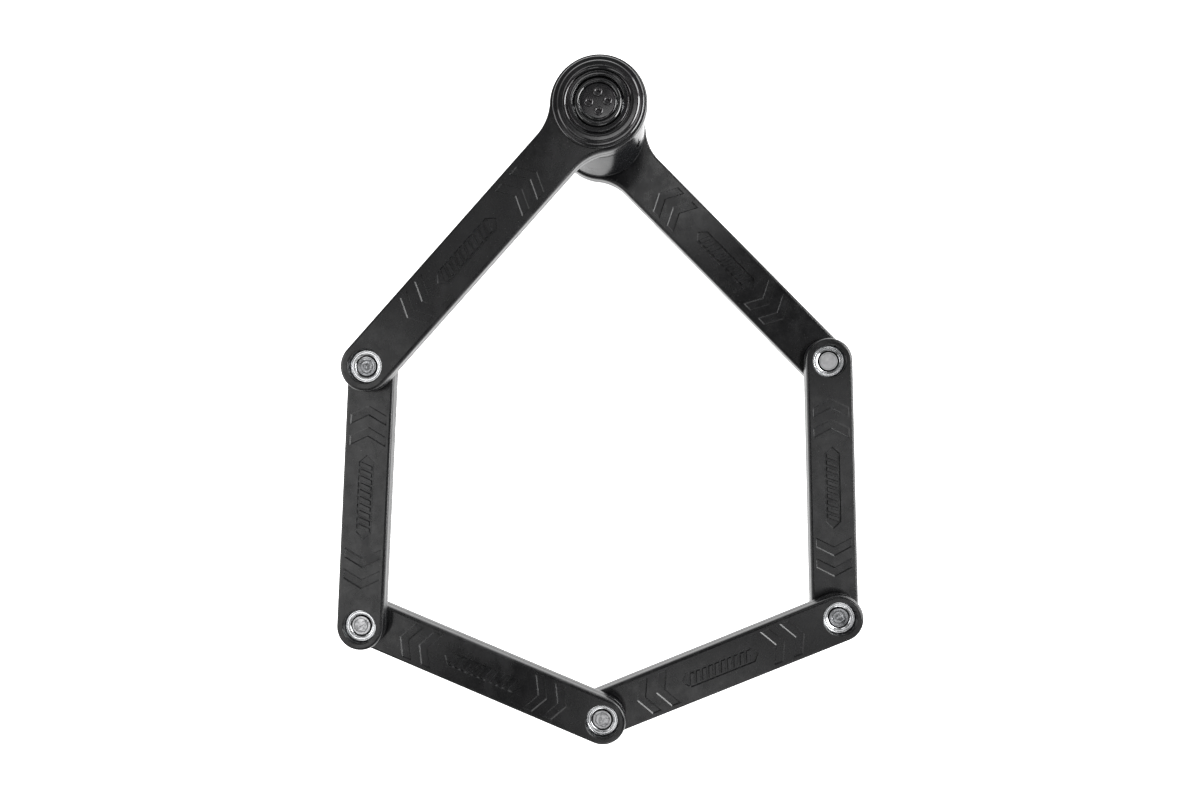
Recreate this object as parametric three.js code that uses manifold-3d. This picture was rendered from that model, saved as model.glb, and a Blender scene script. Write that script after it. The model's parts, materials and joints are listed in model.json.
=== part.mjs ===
// Folding bike lock: six flat links in a staircase stack, five riveted hinges and a round lock head.
// Millimetres, +Z up. The loop lies in the XY plane and is closed but unlocked.
// The origin is under the middle of the bounding box, on the plane the lower arm lies on.
import * as THREE from "three";
import { mergeVertices } from "three/addons/utils/BufferGeometryUtils.js";
import Module from "manifold-3d";

const wasm = await Module();
wasm.setup();

// ---- driving dimensions -------------------------------------------------
const GAP = 0.3; // clearance between neighbouring pieces
const ARM_LENGTH = 167; // head axis to first rivet
const LINK_LENGTH = 129; // rivet to rivet on the four middle links
const ARM_HALF_WIDTH = 12.3;
const LINK_HALF_WIDTH = 11.75;
const LAYER_PITCH = 7.5; // height from one link to the next
const LINK_THICKNESS = 7;
const SKIN = 1; // cover thickness over the steel, top and bottom
const SIDE_WALL = 1.5; // cover thickness at the edges
const BAR_PLAY = 0.25; // between the steel and its cover
const EDGE = 1.1; // chamfer along the cover's edges
const EYE_RADIUS = 23.2; // round head end of both arms
const EYE_FILLET = 24; // concave blend from eye to bar

const LEFT_ARM_DIRECTION = 227.35; // degrees, from the head axis
const RIGHT_ARM_DIRECTION = -46.2;
const LEFT_LINK_DIRECTION = -93.1; // from the left arm's rivet
const RIGHT_LINK_DIRECTION = -88.8; // from the right arm's rivet

const RIVET_RADIUS = 3;
const RIVET_HEAD_RADIUS = 4.9;
const RIVET_LEDGE = 0.6; // ferrule floor under the rivet's head
const FERRULE_RADIUS = 8;
const FERRULE_SLOPE = { width: 0.9, drop: 1 }; // ferrule's fallen outer edge
const FERRULE_RECESS = 2.4; // ferrule's rim below the cover's face
const COUNTERBORE = { radius: 8.3, depth: 3.4 }; // ferrule's seat in the steel
const RIVET_WINDOW = 8.4; // opening in the cover around a rivet
const SPACER_HALF_HEIGHT = 0.95;

// Upper eye, heights from the underside of the left arm.
const CAP_RING = { inner: 12.6, body: 19.8, rim: 21.6, bottom: 6.3, step: 7.3, edge: 8.2, top: 8.8 };
const CAP_GROOVE = { radius: 15.8, halfWidth: 0.4, depth: 0.5 };
const MIDDLE_RING = { inner: 9.2, outer: 12.1, bottom: 5.2, top: 8.6 };
const CENTRE_DISC = { radius: 8.85, top: 8.3 };
const CAP_RIVET = { circle: 4.4, hole: 1.5, shank: 1.2, head: 2.2, bottom: 3.6, seat: 8.6, top: 9.1 };
const EYE_WINDOW = { bottom: 8.3, top: 20.2 }; // openings in the left arm's cover
const CAP_SEAT = { radius: 12.4, floor: 3 }; // recess in the left arm's bar
const STUD_FOOT = { radius: 11.9, bottom: 3.3, top: 4.9 };

// Lock head, heights from the ground.
const HOUSING_RADIUS = 22.2;
const HOUSING_BOTTOM = 7.3;
const HOUSING_TOP = 34.4;
const POCKET = { radius: 12.9, floor: 28 };
const NECK = { radius: 15, bottom: 3 };
const CORE_BORE = 8.5;
const MOUTH_HALF_ANGLE = 52; // spread of the open side of the jaw
const MOUTH_FLOOR = 29.6;
const JAW_TOP = 37.2;
const JAW_SCREW = {
  circle: 17.5,
  directions: [-32, 32],
  hole: 1.4,
  seat: { radius: 2.5, floor: 35.6 },
  shank: 1.1,
  head: 2.2,
  bottom: 29,
  neck: 35.9,
  top: 37.1,
  socket: 36.2,
};
const STUD_FLANGE = { radius: 9, bottom: 30, top: 34, edge: 0.6 };
const STUD_NECK_RADIUS = 5;
const GATE = { inner: 9.4, outer: 12.6, halfAngle: 48, bottom: 28.3, top: 34.1 };
const CORE = { radius: 8.2, hollow: 6.3, bottom: 3, floor: 4.6, top: 29.5 };
const KEY_SLOT = { halfLength: 3.4, halfWidth: 1.3 };
const DISC_COUNT = 4;
const DISC_PITCH = 4.6;
const DISC_THICKNESS = 3.8;
const DISC_BOTTOM = 5;
const PLUG = { bottom: 23.9, top: 29.2 };
const SIDE_BAR = { halfWidth: 0.8, inner: 5, outer: 7.95, bottom: 5.3, top: 23.3 };
const SIDE_BAR_SLOT = { halfWidth: 1.1, bottom: 5, top: 23.6 };

// Keyhole end.
const BASE_PLATE = { radius: 18.4, thickness: 2.7, edge: 0.4 };
const BASE_SCREW = {
  circle: 11.8,
  directions: [150, 230, 310],
  hole: 1.5,
  holeTop: 7,
  seat: { radius: 2.5, depth: 1.7 },
  shank: 1.2,
  head: 2.2,
  bottom: 0.2,
  neck: 1.4,
  top: 6.6,
};
const SCREW_SOCKET_RADIUS = 1;
const KEYHOLE_RADIUS = 4.6;
const SHUTTER = {
  pivot: 9,
  eye: 2.4,
  lap: 0.6,
  bottom: 0.4,
  top: 1.4,
  bore: 1.45,
  clearance: 0.4,
  travel: 72,
};
const SHUTTER_PIN = { radius: 1.1, top: 2.2 };

// Detent, along a radius of the head.
const DETENT_DIRECTION = -31;
const DETENT_HEIGHT = 23;
const DETENT_BORE = { radius: 1.9, from: 7, to: 30 };
const DETENT_BALL = { radius: 1.5, at: 10 };
const DETENT_SPRING = { radius: 1, wire: 0.28, from: 12.1, length: 4.6, turns: 4 };
const DETENT_SCREW = { radius: 1.6, from: 17.3, to: 21.5, slotFloor: 20.6, slotHalfWidth: 0.35 };

const OVERSHOOT = 1; // how far a cutter runs past what it cuts

// ---- looks --------------------------------------------------------------
const COVER = { color: 0x2b2c2e, roughness: 0.42, metalness: 0 };
const GLOSS = { color: 0x0d0e10, roughness: 0.16, metalness: 0.35 };
const CAP = { color: 0x1b1c1e, roughness: 0.3, metalness: 0.1 };
const BAR_STEEL = { color: 0x8d9196, roughness: 0.45, metalness: 1 };
const BRIGHT = { color: 0xd9dce0, roughness: 0.2, metalness: 1 };
const BRASS = { color: 0xb89a55, roughness: 0.35, metalness: 1 };
const SPRING = { color: 0xa9adb2, roughness: 0.3, metalness: 1 };

// ---- geometry helpers ---------------------------------------------------
const rad = THREE.MathUtils.degToRad;

function polar(radius, degrees) {
  return new THREE.Vector2(radius * Math.cos(rad(degrees)), radius * Math.sin(rad(degrees)));
}

function facing(geometry) {
  const bare = geometry.index ? geometry.toNonIndexed() : geometry.clone();
  bare.deleteAttribute("normal");
  bare.deleteAttribute("uv");
  const merged = mergeVertices(bare, 1e-4);
  const p = merged.attributes.position;
  const idx = Array.from(merged.index.array);
  const kept = [];
  let volume = 0;
  const a = new THREE.Vector3();
  const b = new THREE.Vector3();
  const c = new THREE.Vector3();
  for (let i = 0; i < idx.length; i += 3) {
    const [u, v, w] = idx.slice(i, i + 3);
    if (u === v || v === w || w === u) continue;
    kept.push(u, v, w);
    a.fromBufferAttribute(p, u);
    b.fromBufferAttribute(p, v);
    c.fromBufferAttribute(p, w);
    volume += a.dot(b.cross(c));
  }
  if (volume < 0) kept.reverse();
  merged.setIndex(kept);
  return merged;
}

function solid(geometry) {
  const g = facing(geometry);
  return new wasm.Manifold(new wasm.Mesh({
    numProp: 3,
    vertProperties: new Float32Array(g.attributes.position.array),
    triVerts: new Uint32Array(g.index.array),
  }));
}

function shell(manifold) {
  const mesh = manifold.getMesh();
  const g = new THREE.BufferGeometry();
  g.setAttribute("position", new THREE.BufferAttribute(new Float32Array(mesh.vertProperties), 3));
  g.setIndex(Array.from(mesh.triVerts));
  return g;
}

// A flat outline raised from z0 to z1.
function plate(points, z0, z1) {
  const g = new THREE.ExtrudeGeometry(new THREE.Shape(points), { depth: z1 - z0, bevelEnabled: false });
  g.translate(0, 0, z0);
  return solid(g);
}

// An upright drum.
function drum(radius, z0, z1, segments = 24, x = 0, y = 0) {
  const g = new THREE.CylinderGeometry(radius, radius, z1 - z0, segments);
  g.rotateX(Math.PI / 2);
  g.translate(x, y, (z0 + z1) / 2);
  return solid(g);
}

// A turned piece about Z, from [radius, z] points that start and end on the axis or close on themselves.
function turned(profile, segments = 24) {
  const pts = profile.map(([r, z]) => new THREE.Vector2(r, z));
  if (profile[0][0] > 0) pts.push(pts[0].clone());
  const g = new THREE.LatheGeometry(pts, segments);
  g.rotateX(Math.PI / 2);
  return solid(g);
}

function ring(inner, outer, z0, z1, segments = 24, edge = 0) {
  if (edge === 0) return turned([[inner, z0], [outer, z0], [outer, z1], [inner, z1]], segments);
  const outside = [[outer, z0], [outer, z1 - edge], [outer - edge, z1]];
  return turned([[inner, z0], ...outside, [inner + edge, z1], [inner, z1 - edge]], segments);
}

function block(x0, x1, y0, y1, z0, z1) {
  const g = new THREE.BoxGeometry(x1 - x0, y1 - y0, z1 - z0);
  g.translate((x0 + x1) / 2, (y0 + y1) / 2, (z0 + z1) / 2);
  return solid(g);
}

function arc(points, cx, cy, radius, from, to, steps) {
  for (let i = 0; i <= steps; i += 1) {
    const p = polar(radius, from + ((to - from) * i) / steps);
    points.push(new THREE.Vector2(cx + p.x, cy + p.y));
  }
}

// ---- outlines -----------------------------------------------------------
function linkOutline(inset) {
  const r = LINK_HALF_WIDTH - inset;
  const pts = [];
  const steps = inset > EDGE ? 6 : 10;
  arc(pts, LINK_LENGTH, 0, r, -90, 90, steps);
  arc(pts, 0, 0, r, 90, 270, steps);
  return pts;
}

// Eye at the origin, rivet end on +X.
function armOutline(inset) {
  const eye = EYE_RADIUS - inset;
  const half = ARM_HALF_WIDTH - inset;
  const fillet = EYE_FILLET + inset;
  const fy = half + fillet;
  const fx = Math.sqrt((eye + fillet) ** 2 - fy ** 2);
  const turn = THREE.MathUtils.radToDeg(Math.atan2(fy, fx));
  const pts = [];
  const steps = inset > EDGE ? 6 : 10;
  arc(pts, ARM_LENGTH, 0, half, -90, 90, steps);
  arc(pts, fx, fy, fillet, 270, 180 + turn, 4);
  arc(pts, 0, 0, eye, turn, 360 - turn, steps * 2 + 2);
  arc(pts, fx, -fy, fillet, 180 - turn, 90, 4);
  return pts.filter((p, i) => p.distanceTo(pts[(i + 1) % pts.length]) > 1e-3);
}

function windowSteps(radius) {
  return radius > 10 ? 28 : 16;
}

// Cover with softened top and bottom edges and a hollow for the steel bar.
function cover(outline, windows) {
  const bevel = { bevelSize: EDGE, bevelThickness: EDGE, bevelSegments: 1 };
  const shape = new THREE.Shape(outline(EDGE));
  const raw = new THREE.ExtrudeGeometry(shape, { depth: LINK_THICKNESS - 2 * EDGE, ...bevel });
  raw.translate(0, 0, EDGE);
  let body = solid(raw);
  const room = SKIN - BAR_PLAY;
  body = body.subtract(plate(outline(SIDE_WALL - BAR_PLAY), room, LINK_THICKNESS - room));
  for (const [x, bottom, top] of windows) {
    const under = drum(bottom, -OVERSHOOT, SKIN, windowSteps(bottom), x);
    const over = drum(top, LINK_THICKNESS - SKIN, LINK_THICKNESS + OVERSHOOT, windowSteps(top), x);
    body = body.subtract(under).subtract(over);
  }
  return shell(body);
}

// Steel bar blank, SKIN above the link's underside.
function blank(outline) {
  return plate(outline(SIDE_WALL), SKIN, LINK_THICKNESS - SKIN);
}

// Rivet hole with the ferrule's counterbore on the top or the underside.
function hingeHole(bar, x, onTop) {
  const z0 = onTop ? LINK_THICKNESS - SKIN - COUNTERBORE.depth : 0;
  const z1 = onTop ? LINK_THICKNESS : SKIN + COUNTERBORE.depth;
  const hole = drum(RIVET_RADIUS + GAP, -OVERSHOOT, LINK_THICKNESS + OVERSHOOT, 12, x);
  return bar.subtract(hole).subtract(drum(COUNTERBORE.radius, z0, z1, 16, x));
}

// ---- scene helpers ------------------------------------------------------
const lock = new THREE.Group();

function piece(name, geometry, look, parent) {
  const mesh = new THREE.Mesh(geometry, new THREE.MeshStandardMaterial(look));
  mesh.name = name;
  parent.add(mesh);
  return mesh;
}

function placed(parent, x, y, z, degrees = 0) {
  const group = new THREE.Group();
  group.position.set(x, y, z);
  group.rotation.z = rad(degrees);
  parent.add(group);
  return group;
}

// ---- hinge positions ----------------------------------------------------
function loopPoints() {
  const p1 = polar(ARM_LENGTH, LEFT_ARM_DIRECTION);
  const p5 = polar(ARM_LENGTH, RIGHT_ARM_DIRECTION);
  const p2 = p1.clone().add(polar(LINK_LENGTH, LEFT_LINK_DIRECTION));
  const p4 = p5.clone().add(polar(LINK_LENGTH, RIGHT_LINK_DIRECTION));
  const middle = p2.clone().add(p4).multiplyScalar(0.5);
  const span = p4.clone().sub(p2);
  const drop = Math.sqrt(LINK_LENGTH ** 2 - span.lengthSq() / 4);
  const down = new THREE.Vector2(span.y, -span.x).normalize();
  const p3 = middle.add(down.multiplyScalar(drop));
  return [new THREE.Vector2(0, 0), p1, p2, p3, p4, p5];
}

function heading(from, to) {
  return THREE.MathUtils.radToDeg(Math.atan2(to.y - from.y, to.x - from.x));
}

// ---- links --------------------------------------------------------------
function buildLeftArm(parent) {
  const window = [
    [0, EYE_WINDOW.bottom, EYE_WINDOW.top],
    [ARM_LENGTH, RIVET_WINDOW, RIVET_WINDOW],
  ];
  piece("left_arm_cover", cover(armOutline, window), COVER, parent);
  let bar = hingeHole(blank(armOutline), ARM_LENGTH, true);
  bar = bar.subtract(drum(STUD_NECK_RADIUS + GAP, 0, LINK_THICKNESS, 24));
  bar = bar.subtract(drum(CAP_SEAT.radius, CAP_SEAT.floor, LINK_THICKNESS, 32));
  piece("left_arm_bar", shell(bar), BAR_STEEL, parent);
}

function buildRightArm(parent) {
  const opening = BASE_PLATE.radius + 0.5;
  const window = [[0, opening, opening], [ARM_LENGTH, RIVET_WINDOW, RIVET_WINDOW]];
  piece("right_arm_cover", cover(armOutline, window), COVER, parent);
  let bar = hingeHole(blank(armOutline), ARM_LENGTH, false);
  bar = bar.subtract(drum(NECK.radius + 0.4, 0, LINK_THICKNESS, 32));
  bar = bar.subtract(drum(opening, 0, NECK.bottom, 32));
  piece("right_arm_bar", shell(bar), BAR_STEEL, parent);
  const seat = LINK_THICKNESS - SKIN + BAR_PLAY;
  const washer = ring(NECK.radius + 0.6, BASE_PLATE.radius - 0.1, seat, LINK_THICKNESS, 24);
  piece("head_thrust_washer", shell(washer), BRASS, parent);
}

// Lower-hinge end at the origin, upper-hinge end on +X.
function buildLink(name, parent) {
  const window = [[0, RIVET_WINDOW, RIVET_WINDOW], [LINK_LENGTH, RIVET_WINDOW, RIVET_WINDOW]];
  piece(`${name}_cover`, cover(linkOutline, window), COVER, parent);
  const bar = hingeHole(hingeHole(blank(linkOutline), 0, false), LINK_LENGTH, true);
  piece(`${name}_bar`, shell(bar), BAR_STEEL, parent);
}

// Half a ferrule pair: a dished ring that sits in the upper link's counterbore.
function ferrule(seat, ledge, rim) {
  const bore = RIVET_RADIUS + GAP + 0.05;
  return turned([
    [bore, seat],
    [FERRULE_RADIUS, seat],
    [FERRULE_RADIUS, rim - FERRULE_SLOPE.drop],
    [FERRULE_RADIUS - FERRULE_SLOPE.width, rim],
    [RIVET_HEAD_RADIUS + 0.8, rim],
    [RIVET_HEAD_RADIUS + 0.6, ledge],
    [bore, ledge],
  ], 16);
}

// Rivet with a chamfered head at both ends, the same above and below middle.
function doubleRivet(middle, head, tip) {
  const chamfer = 0.35;
  const foot = 2 * middle - head;
  const end = 2 * middle - tip;
  return turned([
    [0, end],
    [RIVET_HEAD_RADIUS - 0.5, end],
    [RIVET_HEAD_RADIUS, end + chamfer],
    [RIVET_HEAD_RADIUS, foot],
    [RIVET_RADIUS, foot],
    [RIVET_RADIUS, head],
    [RIVET_HEAD_RADIUS, head],
    [RIVET_HEAD_RADIUS, tip - chamfer],
    [RIVET_HEAD_RADIUS - 0.5, tip],
    [0, tip],
  ], 12);
}

// z = 0 is the underside of the upper link.
function buildHinge(name, parent) {
  const rim = LINK_THICKNESS - FERRULE_RECESS;
  const seat = LINK_THICKNESS - SKIN - COUNTERBORE.depth + GAP;
  const ledge = seat + RIVET_LEDGE;
  const middle = (LINK_THICKNESS - LAYER_PITCH) / 2;
  const upper = ferrule(seat, ledge, rim);
  piece(`${name}_top_ferrule`, shell(upper), BRIGHT, parent);
  const lower = shell(upper);
  lower.rotateX(Math.PI);
  lower.translate(0, 0, 2 * middle);
  piece(`${name}_bottom_ferrule`, lower, BRIGHT, parent);
  const rivet = doubleRivet(middle, ledge + GAP, rim - 0.05);
  piece(`${name}_rivet`, shell(rivet), BRIGHT, parent);
  const [low, high] = [middle - SPACER_HALF_HEIGHT, middle + SPACER_HALF_HEIGHT];
  const spacer = ring(RIVET_RADIUS + GAP, FERRULE_RADIUS, low, high, 16);
  piece(`${name}_spacer`, shell(spacer), BRASS, parent);
}

// ---- left arm's eye: cap, rings, stud -----------------------------------
function capRivetPlaces() {
  return [45, 135, 225, 315].map((direction) => polar(CAP_RIVET.circle, direction));
}

function buildEyeCap(parent) {
  const c = CAP_RING;
  const groove = CAP_GROOVE;
  const cap = turned([
    [c.inner, c.bottom],
    [c.body, c.bottom],
    [c.body, c.step],
    [c.rim, c.step],
    [c.rim, c.edge],
    [c.rim - (c.top - c.edge), c.top],
    [groove.radius + groove.halfWidth, c.top],
    [groove.radius, c.top - groove.depth],
    [groove.radius - groove.halfWidth, c.top],
    [c.inner, c.top],
  ], 32);
  piece("eye_cap_ring", shell(cap), CAP, parent);
  const m = MIDDLE_RING;
  piece("eye_middle_ring", shell(ring(m.inner, m.outer, m.bottom, m.top, 24)), CAP, parent);
  let disc = drum(CENTRE_DISC.radius, m.bottom, CENTRE_DISC.top, 20);
  for (const p of capRivetPlaces()) {
    const hole = drum(CAP_RIVET.hole, m.bottom - OVERSHOOT, CENTRE_DISC.top + OVERSHOOT, 10, p.x, p.y);
    disc = disc.subtract(hole);
  }
  piece("eye_centre_disc", shell(disc), CAP, parent);
}

function buildCapRivets(parent) {
  const r = CAP_RIVET;
  const profile = turned([
    [0, r.bottom],
    [r.shank, r.bottom],
    [r.shank, r.seat],
    [r.head, r.seat],
    [r.head - 0.3, r.top],
    [r.head / 2, r.top],
    [0, r.top - 0.3],
  ], 12);
  for (const [i, p] of capRivetPlaces().entries()) {
    const geometry = shell(profile);
    geometry.translate(p.x, p.y, 0);
    piece(`cap_rivet_${i + 1}`, geometry, CAP, parent);
  }
}

function buildStud(parent) {
  const ground = -5 * LAYER_PITCH;
  const f = STUD_FLANGE;
  const foot = STUD_FOOT;
  let stud = turned([
    [0, ground + f.bottom],
    [f.radius - f.edge, ground + f.bottom],
    [f.radius, ground + f.bottom + f.edge],
    [f.radius, ground + f.top],
    [STUD_NECK_RADIUS, ground + f.top],
    [STUD_NECK_RADIUS, foot.bottom],
    [foot.radius, foot.bottom],
    [foot.radius, foot.top],
    [0, foot.top],
  ], 24);
  for (const p of capRivetPlaces()) {
    stud = stud.subtract(drum(CAP_RIVET.hole, foot.bottom, foot.top + OVERSHOOT, 10, p.x, p.y));
  }
  piece("locking_stud", shell(stud), BRIGHT, parent);
}

// ---- lock head ----------------------------------------------------------
// The open side of the jaw: every path a disc of this radius can take out of the head.
function mouth(radius, z0, z1) {
  const pts = [];
  const far = 40;
  const edge = 90 - MOUTH_HALF_ANGLE;
  arc(pts, 0, 0, radius, edge, -edge, 8);
  const low = polar(radius, -edge).add(polar(far, -90 - edge));
  const high = polar(radius, edge).add(polar(far, 90 + edge));
  pts.push(low, new THREE.Vector2(-far * 2, low.y), new THREE.Vector2(-far * 2, high.y), high);
  return plate(pts.reverse(), z0, z1);
}

function crescent(inner, outer, halfAngle, z0, z1) {
  const pts = [];
  arc(pts, 0, 0, outer, -halfAngle, halfAngle, 8);
  arc(pts, 0, 0, inner, halfAngle, -halfAngle, 8);
  return plate(pts, z0, z1);
}

// A drum lying along a radius at the detent's place.
function radialDrum(radius, r0, r1) {
  const g = new THREE.CylinderGeometry(radius, radius, r1 - r0, 14);
  g.rotateZ(-Math.PI / 2);
  g.translate((r0 + r1) / 2, 0, DETENT_HEIGHT);
  g.rotateZ(rad(DETENT_DIRECTION));
  return solid(g);
}

function sideBarSlot(inner, outer) {
  const slot = SIDE_BAR_SLOT;
  return block(-slot.halfWidth, slot.halfWidth, inner, outer, slot.bottom, slot.top);
}

function buildHousing(parent) {
  let body = turned([
    [CORE_BORE, NECK.bottom],
    [NECK.radius, NECK.bottom],
    [NECK.radius, HOUSING_BOTTOM],
    [HOUSING_RADIUS - 0.5, HOUSING_BOTTOM],
    [HOUSING_RADIUS, HOUSING_BOTTOM + 0.5],
    [HOUSING_RADIUS, HOUSING_TOP],
    [POCKET.radius, HOUSING_TOP],
    [POCKET.radius, POCKET.floor],
    [CORE_BORE, POCKET.floor],
  ], 32);
  body = body.subtract(mouth(STUD_FLANGE.radius + 2 * GAP, MOUTH_FLOOR, HOUSING_TOP + OVERSHOOT));
  body = body.subtract(radialDrum(DETENT_BORE.radius, DETENT_BORE.from, DETENT_BORE.to));
  const reach = CORE_BORE + 1.1; // side bar's grooves in the bore
  body = body.subtract(sideBarSlot(-reach, reach));
  for (const direction of BASE_SCREW.directions) {
    const p = polar(BASE_SCREW.circle, direction);
    body = body.subtract(drum(BASE_SCREW.hole, 0, BASE_SCREW.holeTop, 12, p.x, p.y));
  }
  for (const direction of JAW_SCREW.directions) {
    const p = polar(JAW_SCREW.circle, direction);
    body = body.subtract(drum(JAW_SCREW.hole, POCKET.floor, JAW_TOP, 12, p.x, p.y));
  }
  piece("head_housing", shell(body), GLOSS, parent);
}

function jawScrew() {
  const k = JAW_SCREW;
  const body = turned([
    [0, k.bottom],
    [k.shank, k.bottom],
    [k.shank, k.neck],
    [k.head, k.neck],
    [k.head, k.top],
    [0, k.top],
  ], 10);
  return body.subtract(drum(SCREW_SOCKET_RADIUS, k.socket, k.top + OVERSHOOT, 6));
}

function buildJawPlate(parent) {
  const edge = 0.5;
  let jaw = turned([
    [0, HOUSING_TOP + GAP],
    [HOUSING_RADIUS, HOUSING_TOP + GAP],
    [HOUSING_RADIUS, JAW_TOP - edge],
    [HOUSING_RADIUS - edge, JAW_TOP],
    [0, JAW_TOP],
  ], 32);
  const above = JAW_TOP + OVERSHOOT;
  jaw = jaw.subtract(mouth(STUD_NECK_RADIUS + 2 * GAP, MOUTH_FLOOR, above));
  const { circle, directions, hole, seat } = JAW_SCREW;
  for (const [i, direction] of directions.entries()) {
    const p = polar(circle, direction);
    jaw = jaw.subtract(drum(hole, MOUTH_FLOOR, above, 12, p.x, p.y));
    jaw = jaw.subtract(drum(seat.radius, seat.floor, above, 16, p.x, p.y));
    const screw = shell(jawScrew());
    screw.translate(p.x, p.y, 0);
    piece(`jaw_screw_${i + 1}`, screw, BAR_STEEL, parent);
  }
  piece("jaw_plate", shell(jaw), GLOSS, parent);
}

function keySlot(z0, z1) {
  const { halfLength, halfWidth } = KEY_SLOT;
  return block(-halfLength, halfLength, -halfWidth, halfWidth, z0, z1);
}

function buildCore(parent) {
  let core = turned([
    [0, CORE.bottom],
    [CORE.radius, CORE.bottom],
    [CORE.radius, GATE.bottom],
    [GATE.outer, GATE.bottom],
    [GATE.outer, CORE.top],
    [CORE.hollow, CORE.top],
    [CORE.hollow, CORE.floor],
    [0, CORE.floor],
  ], 24);
  core = core.add(crescent(GATE.inner, GATE.outer, GATE.halfAngle, CORE.top - 0.5, GATE.top));
  core = core.subtract(keySlot(CORE.bottom - OVERSHOOT, CORE.floor + OVERSHOOT));
  core = core.subtract(sideBarSlot(5.2, CORE.radius + OVERSHOOT));
  piece("key_core", shell(core), BRASS, parent);
  const s = SIDE_BAR;
  const sideBar = block(-s.halfWidth, s.halfWidth, s.inner, s.outer, s.bottom, s.top);
  piece("core_side_bar", shell(sideBar), BAR_STEEL, parent);
  piece("core_end_plug", shell(drum(CORE.hollow - GAP, PLUG.bottom, PLUG.top, 16)), BRASS, parent);
}

function buildDiscs(parent) {
  const notch = SIDE_BAR.inner - GAP;
  for (let i = 0; i < DISC_COUNT; i += 1) {
    const low = DISC_BOTTOM + i * DISC_PITCH;
    const high = low + DISC_THICKNESS;
    const disc = drum(CORE.hollow - GAP, low, high, 16)
      .subtract(keySlot(low - OVERSHOOT, high + OVERSHOOT))
      .subtract(sideBarSlot(notch, CORE.hollow + OVERSHOOT));
    piece(`locking_disc_${i + 1}`, shell(disc), BRASS, parent);
  }
}

function coil(radius, wire, length, turns, steps) {
  const pts = [];
  for (let i = 0; i <= turns * steps; i += 1) {
    const t = i / steps;
    const p = polar(radius, 360 * t);
    pts.push(new THREE.Vector3((length * t) / turns, p.x, p.y));
  }
  const path = new THREE.CatmullRomCurve3(pts);
  const wireShape = new THREE.Shape();
  wireShape.absarc(0, 0, wire, 0, 2 * Math.PI);
  const options = { extrudePath: path, steps: turns * steps, bevelEnabled: false, curveSegments: 2 };
  return new THREE.ExtrudeGeometry(wireShape, options);
}

function buildDetent(parent) {
  const along = placed(parent, 0, 0, DETENT_HEIGHT, DETENT_DIRECTION);
  const ball = new THREE.SphereGeometry(DETENT_BALL.radius, 10, 6);
  ball.rotateX(Math.PI / 2);
  ball.translate(DETENT_BALL.at, 0, 0);
  piece("detent_ball", facing(ball), BRIGHT, along);
  const { radius, wire, from, length, turns } = DETENT_SPRING;
  const spring = coil(radius, wire, length, turns, 8);
  spring.translate(from, 0, 0);
  piece("detent_spring", facing(spring), SPRING, along);
  const k = DETENT_SCREW;
  const g = new THREE.CylinderGeometry(k.radius, k.radius, k.to - k.from, 14);
  g.rotateZ(-Math.PI / 2);
  g.translate((k.from + k.to) / 2, 0, 0);
  const slot = block(k.slotFloor, k.to + OVERSHOOT, -k.slotHalfWidth, k.slotHalfWidth, -2, 2);
  piece("detent_screw", shell(solid(g).subtract(slot)), BAR_STEEL, along);
}

// Shutter leaf turned about its pivot, grown all round by extra.
function leaf(extra, degrees, z0, z1) {
  const pts = [];
  const eye = SHUTTER.eye + extra;
  const blade = KEYHOLE_RADIUS + SHUTTER.lap + extra;
  const turn = THREE.MathUtils.radToDeg(Math.asin((blade - eye) / SHUTTER.pivot));
  arc(pts, 0, 0, eye, turn, 180 - turn, 6);
  arc(pts, 0, -SHUTTER.pivot, blade, 180 - turn, 360 + turn, 12);
  const g = new THREE.ExtrudeGeometry(new THREE.Shape(pts), { depth: z1 - z0, bevelEnabled: false });
  g.translate(0, 0, z0);
  g.rotateZ(rad(degrees));
  g.translate(0, SHUTTER.pivot, 0);
  return solid(g);
}

// Everything the shutter sweeps, with clearance.
function shutterRecess() {
  const top = SHUTTER.top + GAP;
  let recess = leaf(SHUTTER.clearance, 0, -OVERSHOOT, top);
  for (let a = 18; a <= SHUTTER.travel; a += 18) {
    recess = recess.add(leaf(SHUTTER.clearance, a, -OVERSHOOT, top));
  }
  return recess;
}

function baseScrew() {
  const k = BASE_SCREW;
  const body = turned([
    [0, k.bottom],
    [k.head, k.bottom],
    [k.head, k.neck],
    [k.shank, k.neck],
    [k.shank, k.top],
    [0, k.top],
  ], 10);
  return body.subtract(drum(SCREW_SOCKET_RADIUS, 0, 1, 6));
}

function buildBase(parent) {
  const { radius, thickness, edge } = BASE_PLATE;
  const rim = [[radius - edge, 0], [radius, edge], [radius, thickness]];
  let base = turned([[0, 0], ...rim, [0, thickness]], 28);
  base = base.subtract(drum(KEYHOLE_RADIUS, -OVERSHOOT, thickness + OVERSHOOT, 24));
  base = base.subtract(shutterRecess());
  const pin = drum(SHUTTER_PIN.radius, SHUTTER.bottom, SHUTTER_PIN.top, 14, 0, SHUTTER.pivot);
  base = base.add(pin);
  const { circle, directions, hole, seat } = BASE_SCREW;
  for (const [i, direction] of directions.entries()) {
    const p = polar(circle, direction);
    base = base.subtract(drum(hole, -OVERSHOOT, thickness + OVERSHOOT, 10, p.x, p.y));
    base = base.subtract(drum(seat.radius, -OVERSHOOT, seat.depth, 14, p.x, p.y));
    const screw = shell(baseScrew());
    screw.translate(p.x, p.y, 0);
    piece(`base_screw_${i + 1}`, screw, BRIGHT, parent);
  }
  piece("base_plate", shell(base), GLOSS, parent);
}

function buildShutter(parent) {
  const bore = drum(SHUTTER.bore, 0, SHUTTER.top + OVERSHOOT, 14, 0, SHUTTER.pivot);
  const blade = leaf(0, 0, SHUTTER.bottom, SHUTTER.top).subtract(bore);
  piece("keyhole_shutter", shell(blade), BAR_STEEL, parent);
}

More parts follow.
